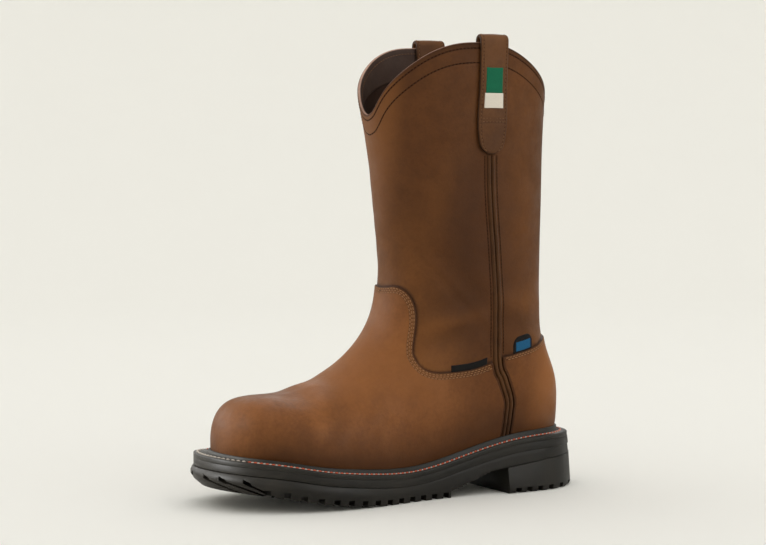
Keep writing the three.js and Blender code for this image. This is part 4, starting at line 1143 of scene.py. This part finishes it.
def make_strap(name, side):
    runs = np.concatenate([
        np.linspace(0, 0.2, 26)[:-1], np.linspace(0.2, 1, 60)[:-1], np.linspace(1, 2, 22)[:-1], np.linspace(2, 3, 40)])
    width = 65
    rounding = 0.1
    t_ring = np.concatenate([
        np.array([-1, -0.995, -0.98, -0.95]), np.linspace(-0.9, 0.9, width), np.array([0.95, 0.98, 0.995, 1])])
    rise = np.sqrt(np.clip(1 - (np.clip(np.abs(t_ring) - (1 - rounding), 0, 1) / rounding) ** 2, 0, 1))
    middle = STRAP_THICKNESS / 2
    half = strap_half(np.clip(runs, 0, 1))[:, None] * STRAP_WIDTH / 2
    row_t = 1 - STRAP_ROW / half
    groove = bump(np.abs(t_ring)[None, :] * half, row_t * half, 0.4) * smooth(0.0, 0.03, runs)[:, None]
    for run in STRAP_CROSS:
        groove = np.maximum(groove, bump(runs[:, None] * STRAP_DROP, run * STRAP_DROP, 0.45)
                            * (np.abs(t_ring)[None, :] < row_t))
    pad = 0.3 * bump(t_ring, 0, 0.6)[None, :]
    high = middle + (STRAP_THICKNESS / 2) * rise[None, :] - 0.3 * groove + pad - 0.3
    low = np.broadcast_to(middle - (STRAP_THICKNESS / 2) * rise, high.shape)
    t_all = np.concatenate([t_ring, t_ring[::-1][1:-1]])
    depth = np.concatenate([high, low[:, ::-1][:, 1:-1]], axis=1)
    tips = 1 - 0.6 * (1 - smooth(0, 0.02, runs))
    depth_grid = middle + (depth - middle) * tips[:, None]
    # Painted shade in the stitch channel on the strap's outer face
    ink = np.concatenate([groove, np.zeros((len(runs), len(t_ring) - 2))], axis=1)
    points = strap_places(side, runs[:, None], t_all[None, :], depth_grid)
    faces = grid_faces(len(runs), len(t_all), closed=True).tolist()
    count = len(t_all)
    faces.append(list(range(count))[::-1])
    faces.append([(len(runs) - 1) * count + k for k in range(count)])
    if side > 0:
        faces = [face[::-1] for face in faces]
    flat = points.reshape(-1, 3)
    edge = (1 - np.abs(t_all))[None, :] * half + 0.2
    edge = np.minimum(edge, runs[:, None] * STRAP_DROP + 0.2)
    values = {"edge": edge.ravel(), "ink": ink.ravel(), "shade": np.full(len(flat), 0.1),
              "wear_and_highlight": np.broadcast_to(0.45 * bump(runs, 1.35, 0.5)[:, None], depth_grid.shape).ravel()}
    made = make_object(name, flat, faces, STRAP_LEATHER, values)
    stands_for(made, "strap_leather", name)
    down = np.linspace(2.9, 0.035, 900)
    run = np.concatenate([down, down[::-1]])
    t = 1 - STRAP_ROW / (STRAP_WIDTH / 2 * strap_half(np.clip(run, 0, 1)))
    t[:len(down)] *= -1
    strap_row(f"{name}_edge_stitches", side, run, t)
    for k, run in enumerate(STRAP_CROSS):
        strap_row(f"{name}_cross_stitches_{k}", side, np.full(60, run), np.linspace(-0.78, 0.78, 60))
    return made


def strap_row(name, side, run, t):
    line = strap_places(side, run, t, STRAP_THICKNESS - 0.4)
    deep = strap_places(side, run, t, STRAP_THICKNESS - 1.4)
    normals = line - deep
    normals /= np.linalg.norm(normals, axis=1, keepdims=True)
    stitches(name, line, normals, BROWN_THREAD, length=2.2, pitch=2.8, radius=0.32)


def even_turns(count):
    """Turns round the last's edge at even distances"""
    turn = np.linspace(0, 360, 2000)
    x, y = edge_point(turn, 8.0)
    run = np.concatenate([[0], np.cumsum(np.hypot(np.diff(x), np.diff(y)))])
    return np.interp(np.arange(count) * run[-1] / count, run, turn)


def sweep(name, profile, material, slot, *nodes):
    """A ring round the last's edge; each profile point has a margin and a height, both by turn and place"""
    turns = even_turns(520)
    rings = []
    for margin, height in profile:
        x, y = edge_point(turns, margin(turns))
        rings.append(np.stack([x, y, height(share_of(y))], axis=1))
    points = np.stack(rings, axis=1).reshape(-1, 3)
    count = len(profile)
    faces = grid_faces(len(turns), count, closed=True)
    last = np.arange(count)
    first = (len(turns) - 1) * count
    joined = np.stack([first + last, first + (last + 1) % count, (last + 1) % count, last], axis=1)
    made = make_object(name, points, np.concatenate([faces, joined]), material)
    return stands_for(made, slot, *nodes)


def margin_at(turn):
    return WELT_MARGIN * margin_share(turn)


def heel_swell(turn):
    """How much further out the sole's edge lies round the heel than the solids' edge"""
    return 2.4 * smooth(64, 22, np.minimum(turn, 360 - turn))


def make_welt():
    lip = spline([0, 0.25, 0.5, 0.8, 1.0], [4.2, 4.0, 3.6, 2.9, 2.4])
    clear = 2 * GAP + OVERLAY
    low = lambda lift: (lambda along: welt_bottom(along) + lift)
    top = lambda lift: (lambda along: welt_top(along) + lift)
    lipped = lambda lift: (lambda along: welt_top(along) + lip(along) + lift)
    at = lambda margin: (lambda turn: np.full(len(turn), float(margin)))
    out = lambda back: (lambda turn: margin_at(turn) - back)
    wide = lambda back, share: (lambda turn: margin_at(turn) - back + share * heel_swell(turn))
    return sweep("welt_strip", [
        (at(-WELT_TUCK), low(0)), (wide(0.5, 1), low(-0.1)), (wide(0.12, 1), low(0.05)), (wide(0, 1), low(0.4)),
        (wide(0, 1), top(-1.2)), (wide(0.15, 0.8), top(-0.5)), (wide(0.5, 0.4), top(-0.13)), (out(1.0), top(0)),
        (out(1.9), top(0)),
        (out(2.3), top(-0.45)), (out(3.9), top(-0.45)), (out(4.3), top(0)), (at(4.7), top(0)), (at(4.25), top(0.5)),
        (at(4.0), lipped(-0.7)), (at(3.75), lipped(-0.2)), (at(3.3), lipped(0)), (at(2.4), lipped(-0.1)),
        (at(1.9), lipped(-0.6)), (at(clear - 0.4), top(0)), (at(-WELT_TUCK), top(0)),
    ], WELT_RUBBER, "welt_rubber", "welt")


def make_midsole():
    line = spline([0, 0.4, 0.6, 0.8, 1.0], [0.1, 0.15, 0.35, 0.9, 1.3])
    low = lambda lift: (lambda along: midsole_bottom(along) - 0.25 + lift)
    top = lambda lift: (lambda along: welt_bottom(along) + 0.05 + lift)
    at = lambda margin: (lambda turn: np.full(len(turn), float(margin)))
    out = lambda back: (lambda turn: margin_at(turn) - back)
    worn = lambda back: (lambda turn: margin_at(turn) - back * line((1 - np.cos(np.radians(turn))) / 2))
    heeled = lambda margin, more: (lambda turn: margin(turn) + (1 + more / 2.4) * heel_swell(turn))
    return sweep("midsole_band", [
        (at(-8), low(0)), (heeled(worn(0.6), 0.7), low(0)), (heeled(worn(0.2), 0.9), low(0.3)),
        (heeled(out(0.03), 0.9), low(0.9)), (heeled(out(0), 0.7), low(2.4)), (heeled(out(0), 0.3), top(-0.4)),
        (heeled(out(0.1), 0.2), top(-0.08)), (heeled(out(0.4), 0.1), top(0)), (at(-8), top(0)),
    ], SOLE_RUBBER, "sole_rubber", "midsole")


def solid_from(name, points, faces):
    mesh = bpy.data.meshes.new(name)
    mesh.from_pydata(np.asarray(points).tolist(), [], [list(map(int, face)) for face in faces])
    form = bmesh.new()
    form.from_mesh(mesh)
    bmesh.ops.remove_doubles(form, verts=form.verts, dist=1e-4)
    bmesh.ops.triangulate(form, faces=form.faces)
    bmesh.ops.recalc_face_normals(form, faces=form.faces)
    form.to_mesh(mesh)
    form.free()
    made = bpy.data.objects.new(name, mesh)
    bpy.context.scene.collection.objects.link(made)
    return made


def prism(outline, from_x=-200, to_x=200):
    n = len(outline)
    points = [[x, y, z] for x in (from_x, to_x) for y, z in outline]
    faces = [list(range(n)), list(range(n, 2 * n))]
    faces += [[i, (i + 1) % n, n + (i + 1) % n, n + i] for i in range(n)]
    return solid_from("tool", points, faces)


def boxes(places):
    """Many blocks as one mesh: middle, size and turn about the vertical"""
    corners = np.array([[i, j, k] for i in (-0.5, 0.5) for j in (-0.5, 0.5) for k in (-0.5, 0.5)])
    sides = [[0, 1, 3, 2], [4, 5, 7, 6], [0, 1, 5, 4], [2, 3, 7, 6], [0, 2, 6, 4], [1, 3, 7, 5]]
    points = []
    faces = []
    for k, (middle, size, turn) in enumerate(places):
        c, s = math.cos(turn), math.sin(turn)
        local = corners * size
        x = local[:, 0] * c - local[:, 1] * s
        y = local[:, 0] * s + local[:, 1] * c
        points.append(np.stack([x, y, local[:, 2]], axis=1) + middle)
        faces += [[8 * k + i for i in side] for side in sides]
    return solid_from("tool", np.concatenate(points), faces)


def cut(solid, tool, operation="DIFFERENCE"):
    change = solid.modifiers.new("cut", "BOOLEAN")
    change.object = tool
    change.operation = operation
    change.solver = "MANIFOLD"
    settle(solid)
    bpy.data.objects.remove(tool)
    return solid


def settle(made):
    """Applies an object's modifiers"""
    bpy.context.view_layer.update()
    graph = bpy.context.evaluated_depsgraph_get()
    mesh = bpy.data.meshes.new_from_object(made.evaluated_get(graph))
    made.modifiers.clear()
    old = made.data
    made.data = mesh
    bpy.data.meshes.remove(old)


def layer(levels, stations):
    """A rough layer of the sole in millimetres: each level has a margin and a height along it"""
    turn = turn_at(stations)
    points = []
    for margin, height in levels:
        for t in (turn, 360 - turn):
            x, y = edge_point(t, margin(t))
            points.append(np.stack([x, y, height(share_of(y))], axis=1))
    n = len(stations)
    at = lambda level, side, s: (level * 2 + side) * n + s
    faces = []
    last = len(levels) - 1
    for s in range(n - 1):
        faces.append([at(0, 0, s), at(0, 1, s), at(0, 1, s + 1), at(0, 0, s + 1)])
        faces.append([at(last, 0, s), at(last, 0, s + 1), at(last, 1, s + 1), at(last, 1, s)])
        for k in range(last):
            faces.append([at(k, 0, s), at(k, 0, s + 1), at(k + 1, 0, s + 1), at(k + 1, 0, s)])
            faces.append([at(k, 1, s), at(k + 1, 1, s), at(k + 1, 1, s + 1), at(k, 1, s + 1)])
    for k in range(last):
        faces.append([at(k, 0, n - 1), at(k, 1, n - 1), at(k + 1, 1, n - 1), at(k + 1, 0, n - 1)])
    return solid_from("sole_form", np.concatenate(points), faces)


def side_line(height):
    stations = np.concatenate([[-0.2], (1 - np.cos(np.linspace(0, math.pi, 90))) / 2, [1.2]])
    return [[float(place_at(s)), float(height(s))] for s in stations]


def between(low, high):
    return prism(side_line(low) + side_line(high)[::-1])


def arch_line(lower, serrated=False):
    line = [[float(place_at(a)), HEEL_BLOCK * h - lower] for a, h in ARCH_LINE]
    if not serrated:
        return line
    curve = resample(np.array(line[1:5]), 3.6)
    steps = []
    for a, b in zip(curve[:-1], curve[1:]):
        steps += [a.tolist(), [float(b[0]) - 0.5, float(a[1]) + 0.15]]
    return [line[0]] + steps + line[4:]


def notches(first, last, pitch, width, depth, past):
    count = round((last - first) * LAST_LENGTH / pitch)
    places = []
    for side in (0, 1):
        for i in range(count + 1):
            along = first + i * pitch / LAST_LENGTH
            turn = turn_at(along) if side == 0 else 360 - turn_at(along)
            x, y = edge_point(turn, past - LUG_INSET / 2 + 2)
            x1, y1 = edge_point(turn, past)
            z = float(tread(along)) + depth / 2 - 1
            places.append(([float(x), float(y), z], [LUG_INSET + 4, width, depth + 2],
                           math.atan2(float(y1 - y), float(x1 - x))))
    return boxes(places)


def finish_rubber(made, name, slot, node, width=0.45):
    """Rounds the edges of a cut solid, in metres, and lets it stand for its node"""
    made.name = name
    made.data.transform(Matrix.Scale(MM, 4))
    bevel = made.modifiers.new("bevel", "BEVEL")
    bevel.width = width * MM
    bevel.segments = 2
    bevel.limit_method = "ANGLE"
    bevel.angle_limit = math.radians(38)
    settle(made)
    made.data.materials.clear()
    made.data.materials.append(SOLE_RUBBER)
    made.data.set_sharp_from_angle(angle=math.radians(34))
    made.data.shade_smooth()
    return stands_for(made, slot, node)


def make_outsole():
    swell = spline([0, 0.12, 0.25, 0.4, 0.6, 0.8, 1.0], [1.3, 1.2, 0.9, 0.5, 0.9, 1.8, 2.4])
    station = lambda turn: (1 - np.cos(np.radians(turn))) / 2
    side = lambda share: (lambda turn: margin_at(turn) + heel_swell(turn) + share * swell(station(turn)))
    rise = lambda share: (lambda along: mix(tread(along), outsole_top(along), share))
    stations = (1 - np.cos(np.linspace(0.02, math.pi - 0.02, 110))) / 2
    stations = np.concatenate([[0.0], stations, [1.0]])
    under = lambda share, back: (lambda turn: side(share)(turn) - back * smooth(128, 168, turn) * smooth(236, 196, turn))
    solid = layer([
        (under(0.2, 7.5), lambda along: tread(along) - 1),
        (under(0.45, 4.2), rise(0.14)),
        (under(0.75, 1.9), rise(0.32)),
        (under(1.0, 0.3), rise(0.56)),
        (side(0.95), rise(0.74)),
        (side(0.55), rise(0.9)),
        (side(0.2), lambda along: outsole_top(along) + 0.2),
        (lambda turn: margin_at(turn) - 2, lambda along: outsole_top(along) + 1),
    ], stations)
    cut(solid, between(tread, outsole_top), "INTERSECT")
    under = arch_line(0, serrated=True)
    hollow = [[under[0][0], -400]] + under + [[400, under[-1][1]], [400, -400]]
    cut(solid, prism(hollow))
    cut(solid, notches(LUG_FIRST, LUG_LAST, LUG_PITCH, LUG_NOTCH, LUG_DEPTH, WELT_MARGIN + BUMPER))
    for way in (-1, 1):
        places = []
        for along in (0.46, 0.54, 0.62, 0.7, 0.78, 0.86):
            z = float(tread(along)) + LUG_DEPTH / 2 - 1
            places.append(([way * 30 * 0.33, float(place_at(along)), z], [30, 5, LUG_DEPTH + 2], -way * 0.45))
        cut(solid, boxes(places))
    cut(solid, notches(0.885, 0.93, LUG_PITCH, LUG_NOTCH, 5.6, WELT_MARGIN + BUMPER))
    for first, last, high, low in TOE_GROOVES:
        for mirrored in (False, True):
            cut(solid, toe_groove(first, last, high, low, 1.7, mirrored))
            cut(solid, toe_groove(first + 1.0, first - 2.2, high + 0.08, high - 0.1, 3.2, mirrored))
    return finish_rubber(solid, "outsole_lugs", "sole_rubber", "outsole", 0.25)


# Grooves that slant down the toe's edge: first and last turn, and how high they start and end
TOE_GROOVES = [(174.5, 160, 0.64, 0.0), (166.5, 149, 0.68, 0.0), (156.5, 145, 0.66, 0.0)]


def toe_groove(first, last, high, low, width, mirrored):
    """A closed cutter that runs in the toe's edge from one turn and height to another"""
    turns = np.linspace(first, last, 9)
    shares = np.linspace(high, low, 9)
    if mirrored:
        turns = 360 - turns
    corners = []
    for depth, lift in ((4.0, -1), (20.0, -1), (20.0, 1), (4.0, 1)):
        x, y = edge_point(turns, np.full(9, depth))
        along = share_of(y)
        x0, y0 = edge_point(turns, np.full(9, 10.0))
        base = tread(share_of(y0))
        z = base + (outsole_top(share_of(y0)) - base) * shares + lift * width / 2
        corners.append(np.stack([x, y, z], axis=1))
    points = np.stack(corners, axis=1).reshape(-1, 3)
    faces = grid_faces(9, 4, closed=True).tolist()
    faces += [[0, 1, 2, 3], [32, 33, 34, 35]]
    return solid_from("tool", points, faces)


def make_heel():
    flared = lambda turn: margin_at(turn) + HEEL_FLARE
    part = lambda share: (lambda turn: margin_at(turn) + HEEL_FLARE * share)
    flat = lambda z: (lambda along: np.full(np.shape(along), float(z)))
    stations = np.concatenate([[0.0], (1 - np.cos(np.linspace(0.04, 1.3, 60))) / 2])
    solid = layer([
        (lambda turn: flared(turn) - HEEL_BEVEL - 1.6, flat(-1)),
        (lambda turn: flared(turn) - 0.9, flat(0.9)),
        (lambda turn: flared(turn) - 0.25, flat(2.4)),
        (part(0.93), flat(5)),
        (lambda turn: margin_at(turn) + heel_swell(turn) + 1.4, flat(HEEL_BLOCK - 1)),
        (lambda turn: margin_at(turn) + heel_swell(turn) + 0.9, flat(HEEL_BLOCK + 10)),
    ], stations)
    over = [p for p in arch_line(GAP) if p[0] > place_at(HEEL_BREAST) - 1]
    keep = [[place_at(HEEL_BREAST), 0]] + over + [[400, over[-1][1]], [400, 0]]
    cut(solid, prism(keep), "INTERSECT")
    cut(solid, notches(HEEL_LUG_FIRST, HEEL_LUG_LAST, HEEL_LUG_PITCH, HEEL_NOTCH, HEEL_NOTCH_DEPTH,
                       WELT_MARGIN + HEEL_FLARE))
    return finish_rubber(solid, "heel_block", "sole_rubber", "heel", 0.3)


def make_insole():
    """The footbed: a shallow dish with a raised rim"""
    stations = (1 - np.cos(np.linspace(0.02, math.pi - 0.02, 120))) / 2
    turn = turn_at(stations)
    left = np.stack(edge_point(turn, -WALL - 0.7), axis=1)
    right = np.stack(edge_point(360 - turn, -WALL - 0.7), axis=1)
    share = np.linspace(0, 1, 41)[None, :, None]
    flat = left[:, None] * (1 - share) + right[:, None] * share
    rim = np.abs(share[..., 0] * 2 - 1)
    height = feather(share_of(flat[..., 1])) + INSOLE_THICKNESS - 0.8 * (1 - rim ** 2) - 0.5 * smooth(0.94, 1.0, rim)
    points = np.concatenate([flat, height[..., None]], axis=2).reshape(-1, 3)
    made = make_object("footbed", points, grid_faces(len(stations), 41), INSOLE_LEATHER,
                       {"edge": np.full(len(points), 9.0)})
    return stands_for(made, "insole_leather", "insole")


def welt_line(turns, back, lift):
    x, y = edge_point(turns, margin_at(turns) - back)
    z = welt_top(share_of(y)) + lift
    line = np.stack([x, y, z], axis=1)
    tangent = np.gradient(line, axis=0)
    outward = np.stack([tangent[:, 1], -tangent[:, 0], np.zeros(len(line))], axis=1)
    normals = np.cross(outward, tangent)
    normals *= np.sign(normals[:, 2:3])
    return line, normals / np.linalg.norm(normals, axis=1, keepdims=True)


def welt_stitches():
    """Slanted stitches in two colours that take turns, pale alone at the toe"""
    for name, first, last, other in (
            ("lateral", -2, 157, ORANGE_THREAD), ("toe", 157, 203, PALE_THREAD), ("medial", 203, 360, ORANGE_THREAD)):
        line, normals = welt_line(np.linspace(first, last, 900), 3.1, -0.2)
        run = np.concatenate([[0], np.cumsum(np.linalg.norm(np.diff(line, axis=0), axis=1))])
        pitch = run[-1] / (round(run[-1] / 4.4) + 0.5)
        part = run > (0 if name == "toe" else pitch / 2)
        stitches(f"welt_stitches_{name}", line[part], normals[part], other, 3.0, pitch * 0.999, 0.64, 22, -0.05)
        part = run < run[-1] - pitch / 2
        if name == "toe":
            continue
        stitches(f"welt_stitches_{name}_pale", line[part], normals[part], PALE_THREAD, 2.4, pitch * 0.999, 0.56, 34, -0.05)


def tag(name, side, foot, height, material, thickness=0.6, lift=0.0, round_top=False):
    """A small woven tag that lies on the leather: foot is its lower edge in the side view"""
    foot = resample(np.asarray(foot, float), 0.5)
    rows = 26
    up = (1 - np.cos(np.linspace(0, math.pi, rows))) / 2
    across = np.linspace(-1, 1, len(foot))[None, :]
    high = height * (np.sqrt(np.clip(1 - 0.75 * across ** 4, 0, 1)) if round_top else np.ones(across.shape))
    yz = foot[None] + np.stack([np.zeros((rows, len(foot))), up[:, None] * high], axis=-1)
    v, u = locate(side, yz[..., 0], yz[..., 1])
    inner = (1 - np.abs(across) ** 40) * (1 - np.abs(2 * up[:, None] - 1) ** 14)
    points = on_form(v, u, lift - 0.2 + (thickness + 0.2) * np.sqrt(np.clip(inner, 0, 1)))
    faces = grid_faces(rows, len(foot))
    made = make_object(name, points.reshape(-1, 3), faces if side < 0 else faces[:, ::-1], material)
    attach(made, "root")
    return made


def strap_tag(name, side, runs, t, material, lift):
    """A plain woven tag sewn on the strap's outer face"""
    run = np.linspace(runs[0], runs[1], 30)[:, None]
    across = np.linspace(-t, t, 40)[None, :]
    inner = (1 - np.abs(across / t) ** 40) * (1 - np.abs(np.linspace(-1, 1, 30)[:, None]) ** 40)
    depth = STRAP_THICKNESS - 0.25 + lift * np.sqrt(np.clip(inner, 0, 1))
    points = strap_places(side, run, across, depth)
    faces = grid_faces(30, 40)
    made = make_object(name, points.reshape(-1, 3), faces[:, ::-1] if side > 0 else faces, material)
    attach(made, "root")
    return made


def make_tags():
    """Plain tags with no marks, where the boot has its labels"""
    strap_tag("strap_tag_green", 1, (0.535, 0.765), 0.6, GREEN_TAG, 0.5)
    strap_tag("strap_tag_white", 1, (0.405, 0.54), 0.66, WHITE_TAG, 0.55)
    edge = VAMP_POLYGON[2]
    foot = edge[(edge[:, 0] > -83) & (edge[:, 0] < -52) & (edge[:, 1] < 120)]
    tag("vamp_tag", 1, foot + np.array([0, -0.6]), 5.6, BLACK_TAG)
    edge = COUNTER_POLYGON[2]
    foot = edge[(edge[:, 0] > -31) & (edge[:, 0] < -12)]
    tag("counter_tag", 1, foot + np.array([0, -0.6]), 13.0, BLACK_TAG, round_top=True)
    inner = foot[(foot[:, 0] > -29) & (foot[:, 0] < -14)]
    tag("counter_tag_blue", 1, inner + np.array([0, 0.8]), 7.5, BLUE_TAG, 0.75, 0.1)


VAMP_POLYGON = vamp_polygon()
COUNTER_POLYGON = counter_polygon()
shaft, facing = make_upper()
VAMP_ROWS = (1.4, 2.9, 4.4)
COUNTER_ROWS = (1.4, 2.9)
vamp = panel("vamp_panel", "foot_leather", "vamp", FOOT_LEATHER, VAMP_POLYGON, (0, 17), VAMP_ROWS)
counter = panel("counter_panel", "foot_leather", "counter", FOOT_LEATHER, COUNTER_POLYGON, (12, 23), COUNTER_ROWS)
shaft_tree = tree_of(shaft)
vamp_tree = tree_of(vamp)
counter_tree = tree_of(counter)
facing_tree = tree_of(facing)


def leather_rows():
    """The stitched rows of the panels, the seams and the collar"""
    for side, word in ((1, "lateral"), (-1, "medial")):
        for what, polygons, tree, rows, way in (("vamp", VAMP_POLYGON, vamp_tree, VAMP_ROWS, -1),
                                                ("counter", COUNTER_POLYGON, counter_tree, COUNTER_ROWS, -1)):
            v, u = course(polygons[2], side)
            for k, inset in enumerate(rows):
                line, normals = line_on(tree, v, u, inset * way * side)
                seam = locate_seam(line[:, 2])
                clear = np.abs(line[:, 1] - seam) > SEAM_WIDTH / 2 + GAP + 1.9
                stitches(f"{what}_stitches_{word}_{k}", line[clear], normals[clear], TAN_THREAD, 2.65, 2.9, 0.32,
                         phase=0.5 * (k % 2))
        for k, way in enumerate((-1, 1)):
            beside_seam = seam_line(way * (SEAM_WIDTH / 2 + GAP + 1.5))
            turn = VAMP_POLYGON[2][-1, 1] if way < 0 else COUNTER_POLYGON[2][0, 1]
            high = beside_seam[(beside_seam[:, 1] > turn + 2.2) & (beside_seam[:, 1] < STRAP_TIP_Z - 1)]
            line, normals = line_on(shaft_tree, *locate(side, high[:, 0], high[:, 1]))
            stitches(f"seam_stitches_{word}_{k}", line, normals, DARK_THREAD, 2.0, 2.8, 0.27)
            shadow_line(f"seam_crease_shadow_{word}_{k}", line, normals)
            low = beside_seam[(beside_seam[:, 1] < turn - 2.0) & (beside_seam[:, 1] > SEAT + 6)]
            line, normals = line_on(vamp_tree if way < 0 else counter_tree, *locate(side, low[:, 0], low[:, 1]))
            stitches(f"seam_foot_stitches_{word}_{k}", line, normals, DARK_THREAD, 2.0, 2.8, 0.27)
    line, normals = collar_line(shaft_tree, 3.6)
    stitches("collar_stitches_top", line, normals, DARK_THREAD, 2.0, 2.9, 0.3)
    shadow_line("collar_crease_shadow_top", line, normals, 1.0)
    line, normals = collar_line(shaft_tree, 14.5)
    stitches("collar_stitches_low", line, normals, DARK_THREAD, 2.0, 2.9, 0.3)
    shadow_line("collar_crease_shadow_low", line, normals, 1.0)
    line, normals = collar_line(facing_tree, 4.0, inside=True)
    stitches("facing_stitches", line, normals, BROWN_THREAD, 2.2, 2.9, 0.28)


for word, side in (("lateral", 1), ("medial", -1)):
    make_seam(f"side_seam_{word}", side)
    make_strap(f"pull_strap_{word}", side)
leather_rows()
make_welt()
make_midsole()
make_outsole()
make_heel()
make_insole()
welt_stitches()
make_tags()


def studio():
    """A pale seamless bowl, soft lights and the camera at the photograph's angle"""
    profile = [(0.001, -0.0002), (2.2, -0.0002)]
    profile += [(2.2 + 1.4 * math.sin(a), 1.4 - 1.4 * math.cos(a) - 0.0002) for a in np.linspace(0.05, math.pi / 2, 24)]
    profile += [(3.6, 3.4)]
    angle = np.linspace(0, 2 * math.pi, 97)[:-1]
    points = [[r * math.cos(a) / MM, r * math.sin(a) / MM, z / MM] for r, z in profile for a in angle]
    bowl_material = Nodes("studio_paper")
    bowl_material.set(Base_Color=colour("f3f2ed"), Roughness=0.9, Specular_IOR_Level=0.1)
    bowl = make_object("studio_bowl", points, grid_faces(len(profile), 96, closed=True), bowl_material.material)
    world = bpy.data.worlds.new("studio")
    bpy.context.scene.world = world
    world.use_nodes = True
    world.node_tree.nodes["Background"].inputs["Color"].default_value = (1.0, 0.995, 0.985, 1)
    world.node_tree.nodes["Background"].inputs["Strength"].default_value = 1.14
    lit = bpy.data.collections.new("lit_by_lamps")
    sole = bpy.data.collections.new("lit_at_the_toe")
    for piece in bpy.context.scene.objects:
        if piece.type == "MESH" and piece != bowl:
            lit.objects.link(piece)
            if piece.name in ("welt_strip", "midsole_band", "outsole_lugs"):
                sole.objects.link(piece)
    for name, azimuth, elevation, distance, size, power in (
            ("toe", -4, -2, 0.6, 0.3, 5.4),
            ("key", -18, 22, 1.5, 0.8, 12), ("rim", -58, 14, 1.4, 0.6, 6), ("side", 120, 22, 1.7, 0.9, 11),
            ("top", 40, 75, 1.5, 1.0, 1.5), ("back", 240, 30, 1.8, 1.0, 7)):
        light = bpy.data.lights.new(name, "AREA")
        light.size = size
        light.energy = power
        lamp = bpy.data.objects.new(name, light)
        a, e = math.radians(azimuth), math.radians(elevation)
        back = Vector((math.sin(a) * math.cos(e), -math.cos(a) * math.cos(e), math.sin(e)))
        lamp.location = Vector((0, -0.12, 0.15)) + back * distance
        lamp.rotation_mode = "QUATERNION"
        lamp.rotation_quaternion = (-back).to_track_quat("-Z", "Y")
        lamp.visible_camera = False
        lamp.light_linking.receiver_collection = sole if name == "toe" else lit
        bpy.context.scene.collection.objects.link(lamp)
    camera = bpy.data.cameras.new("camera")
    camera.sensor_width = 36
    camera.lens = 36 * 2168 / 766
    camera.clip_start = 0.05
    camera.clip_end = 20
    eye = bpy.data.objects.new("camera", camera)
    a, e = math.radians(62), math.radians(3)
    back = Vector((math.sin(a) * math.cos(e), -math.cos(a) * math.cos(e), math.sin(e)))
    eye.location = Vector((0, -0.12, 0.1693)) + back * 1.65
    eye.rotation_mode = "QUATERNION"
    eye.rotation_quaternion = (-back).to_track_quat("-Z", "Y")
    bpy.context.scene.collection.objects.link(eye)
    bpy.context.scene.camera = eye
    bpy.context.scene.view_settings.view_transform = "Standard"


studio()
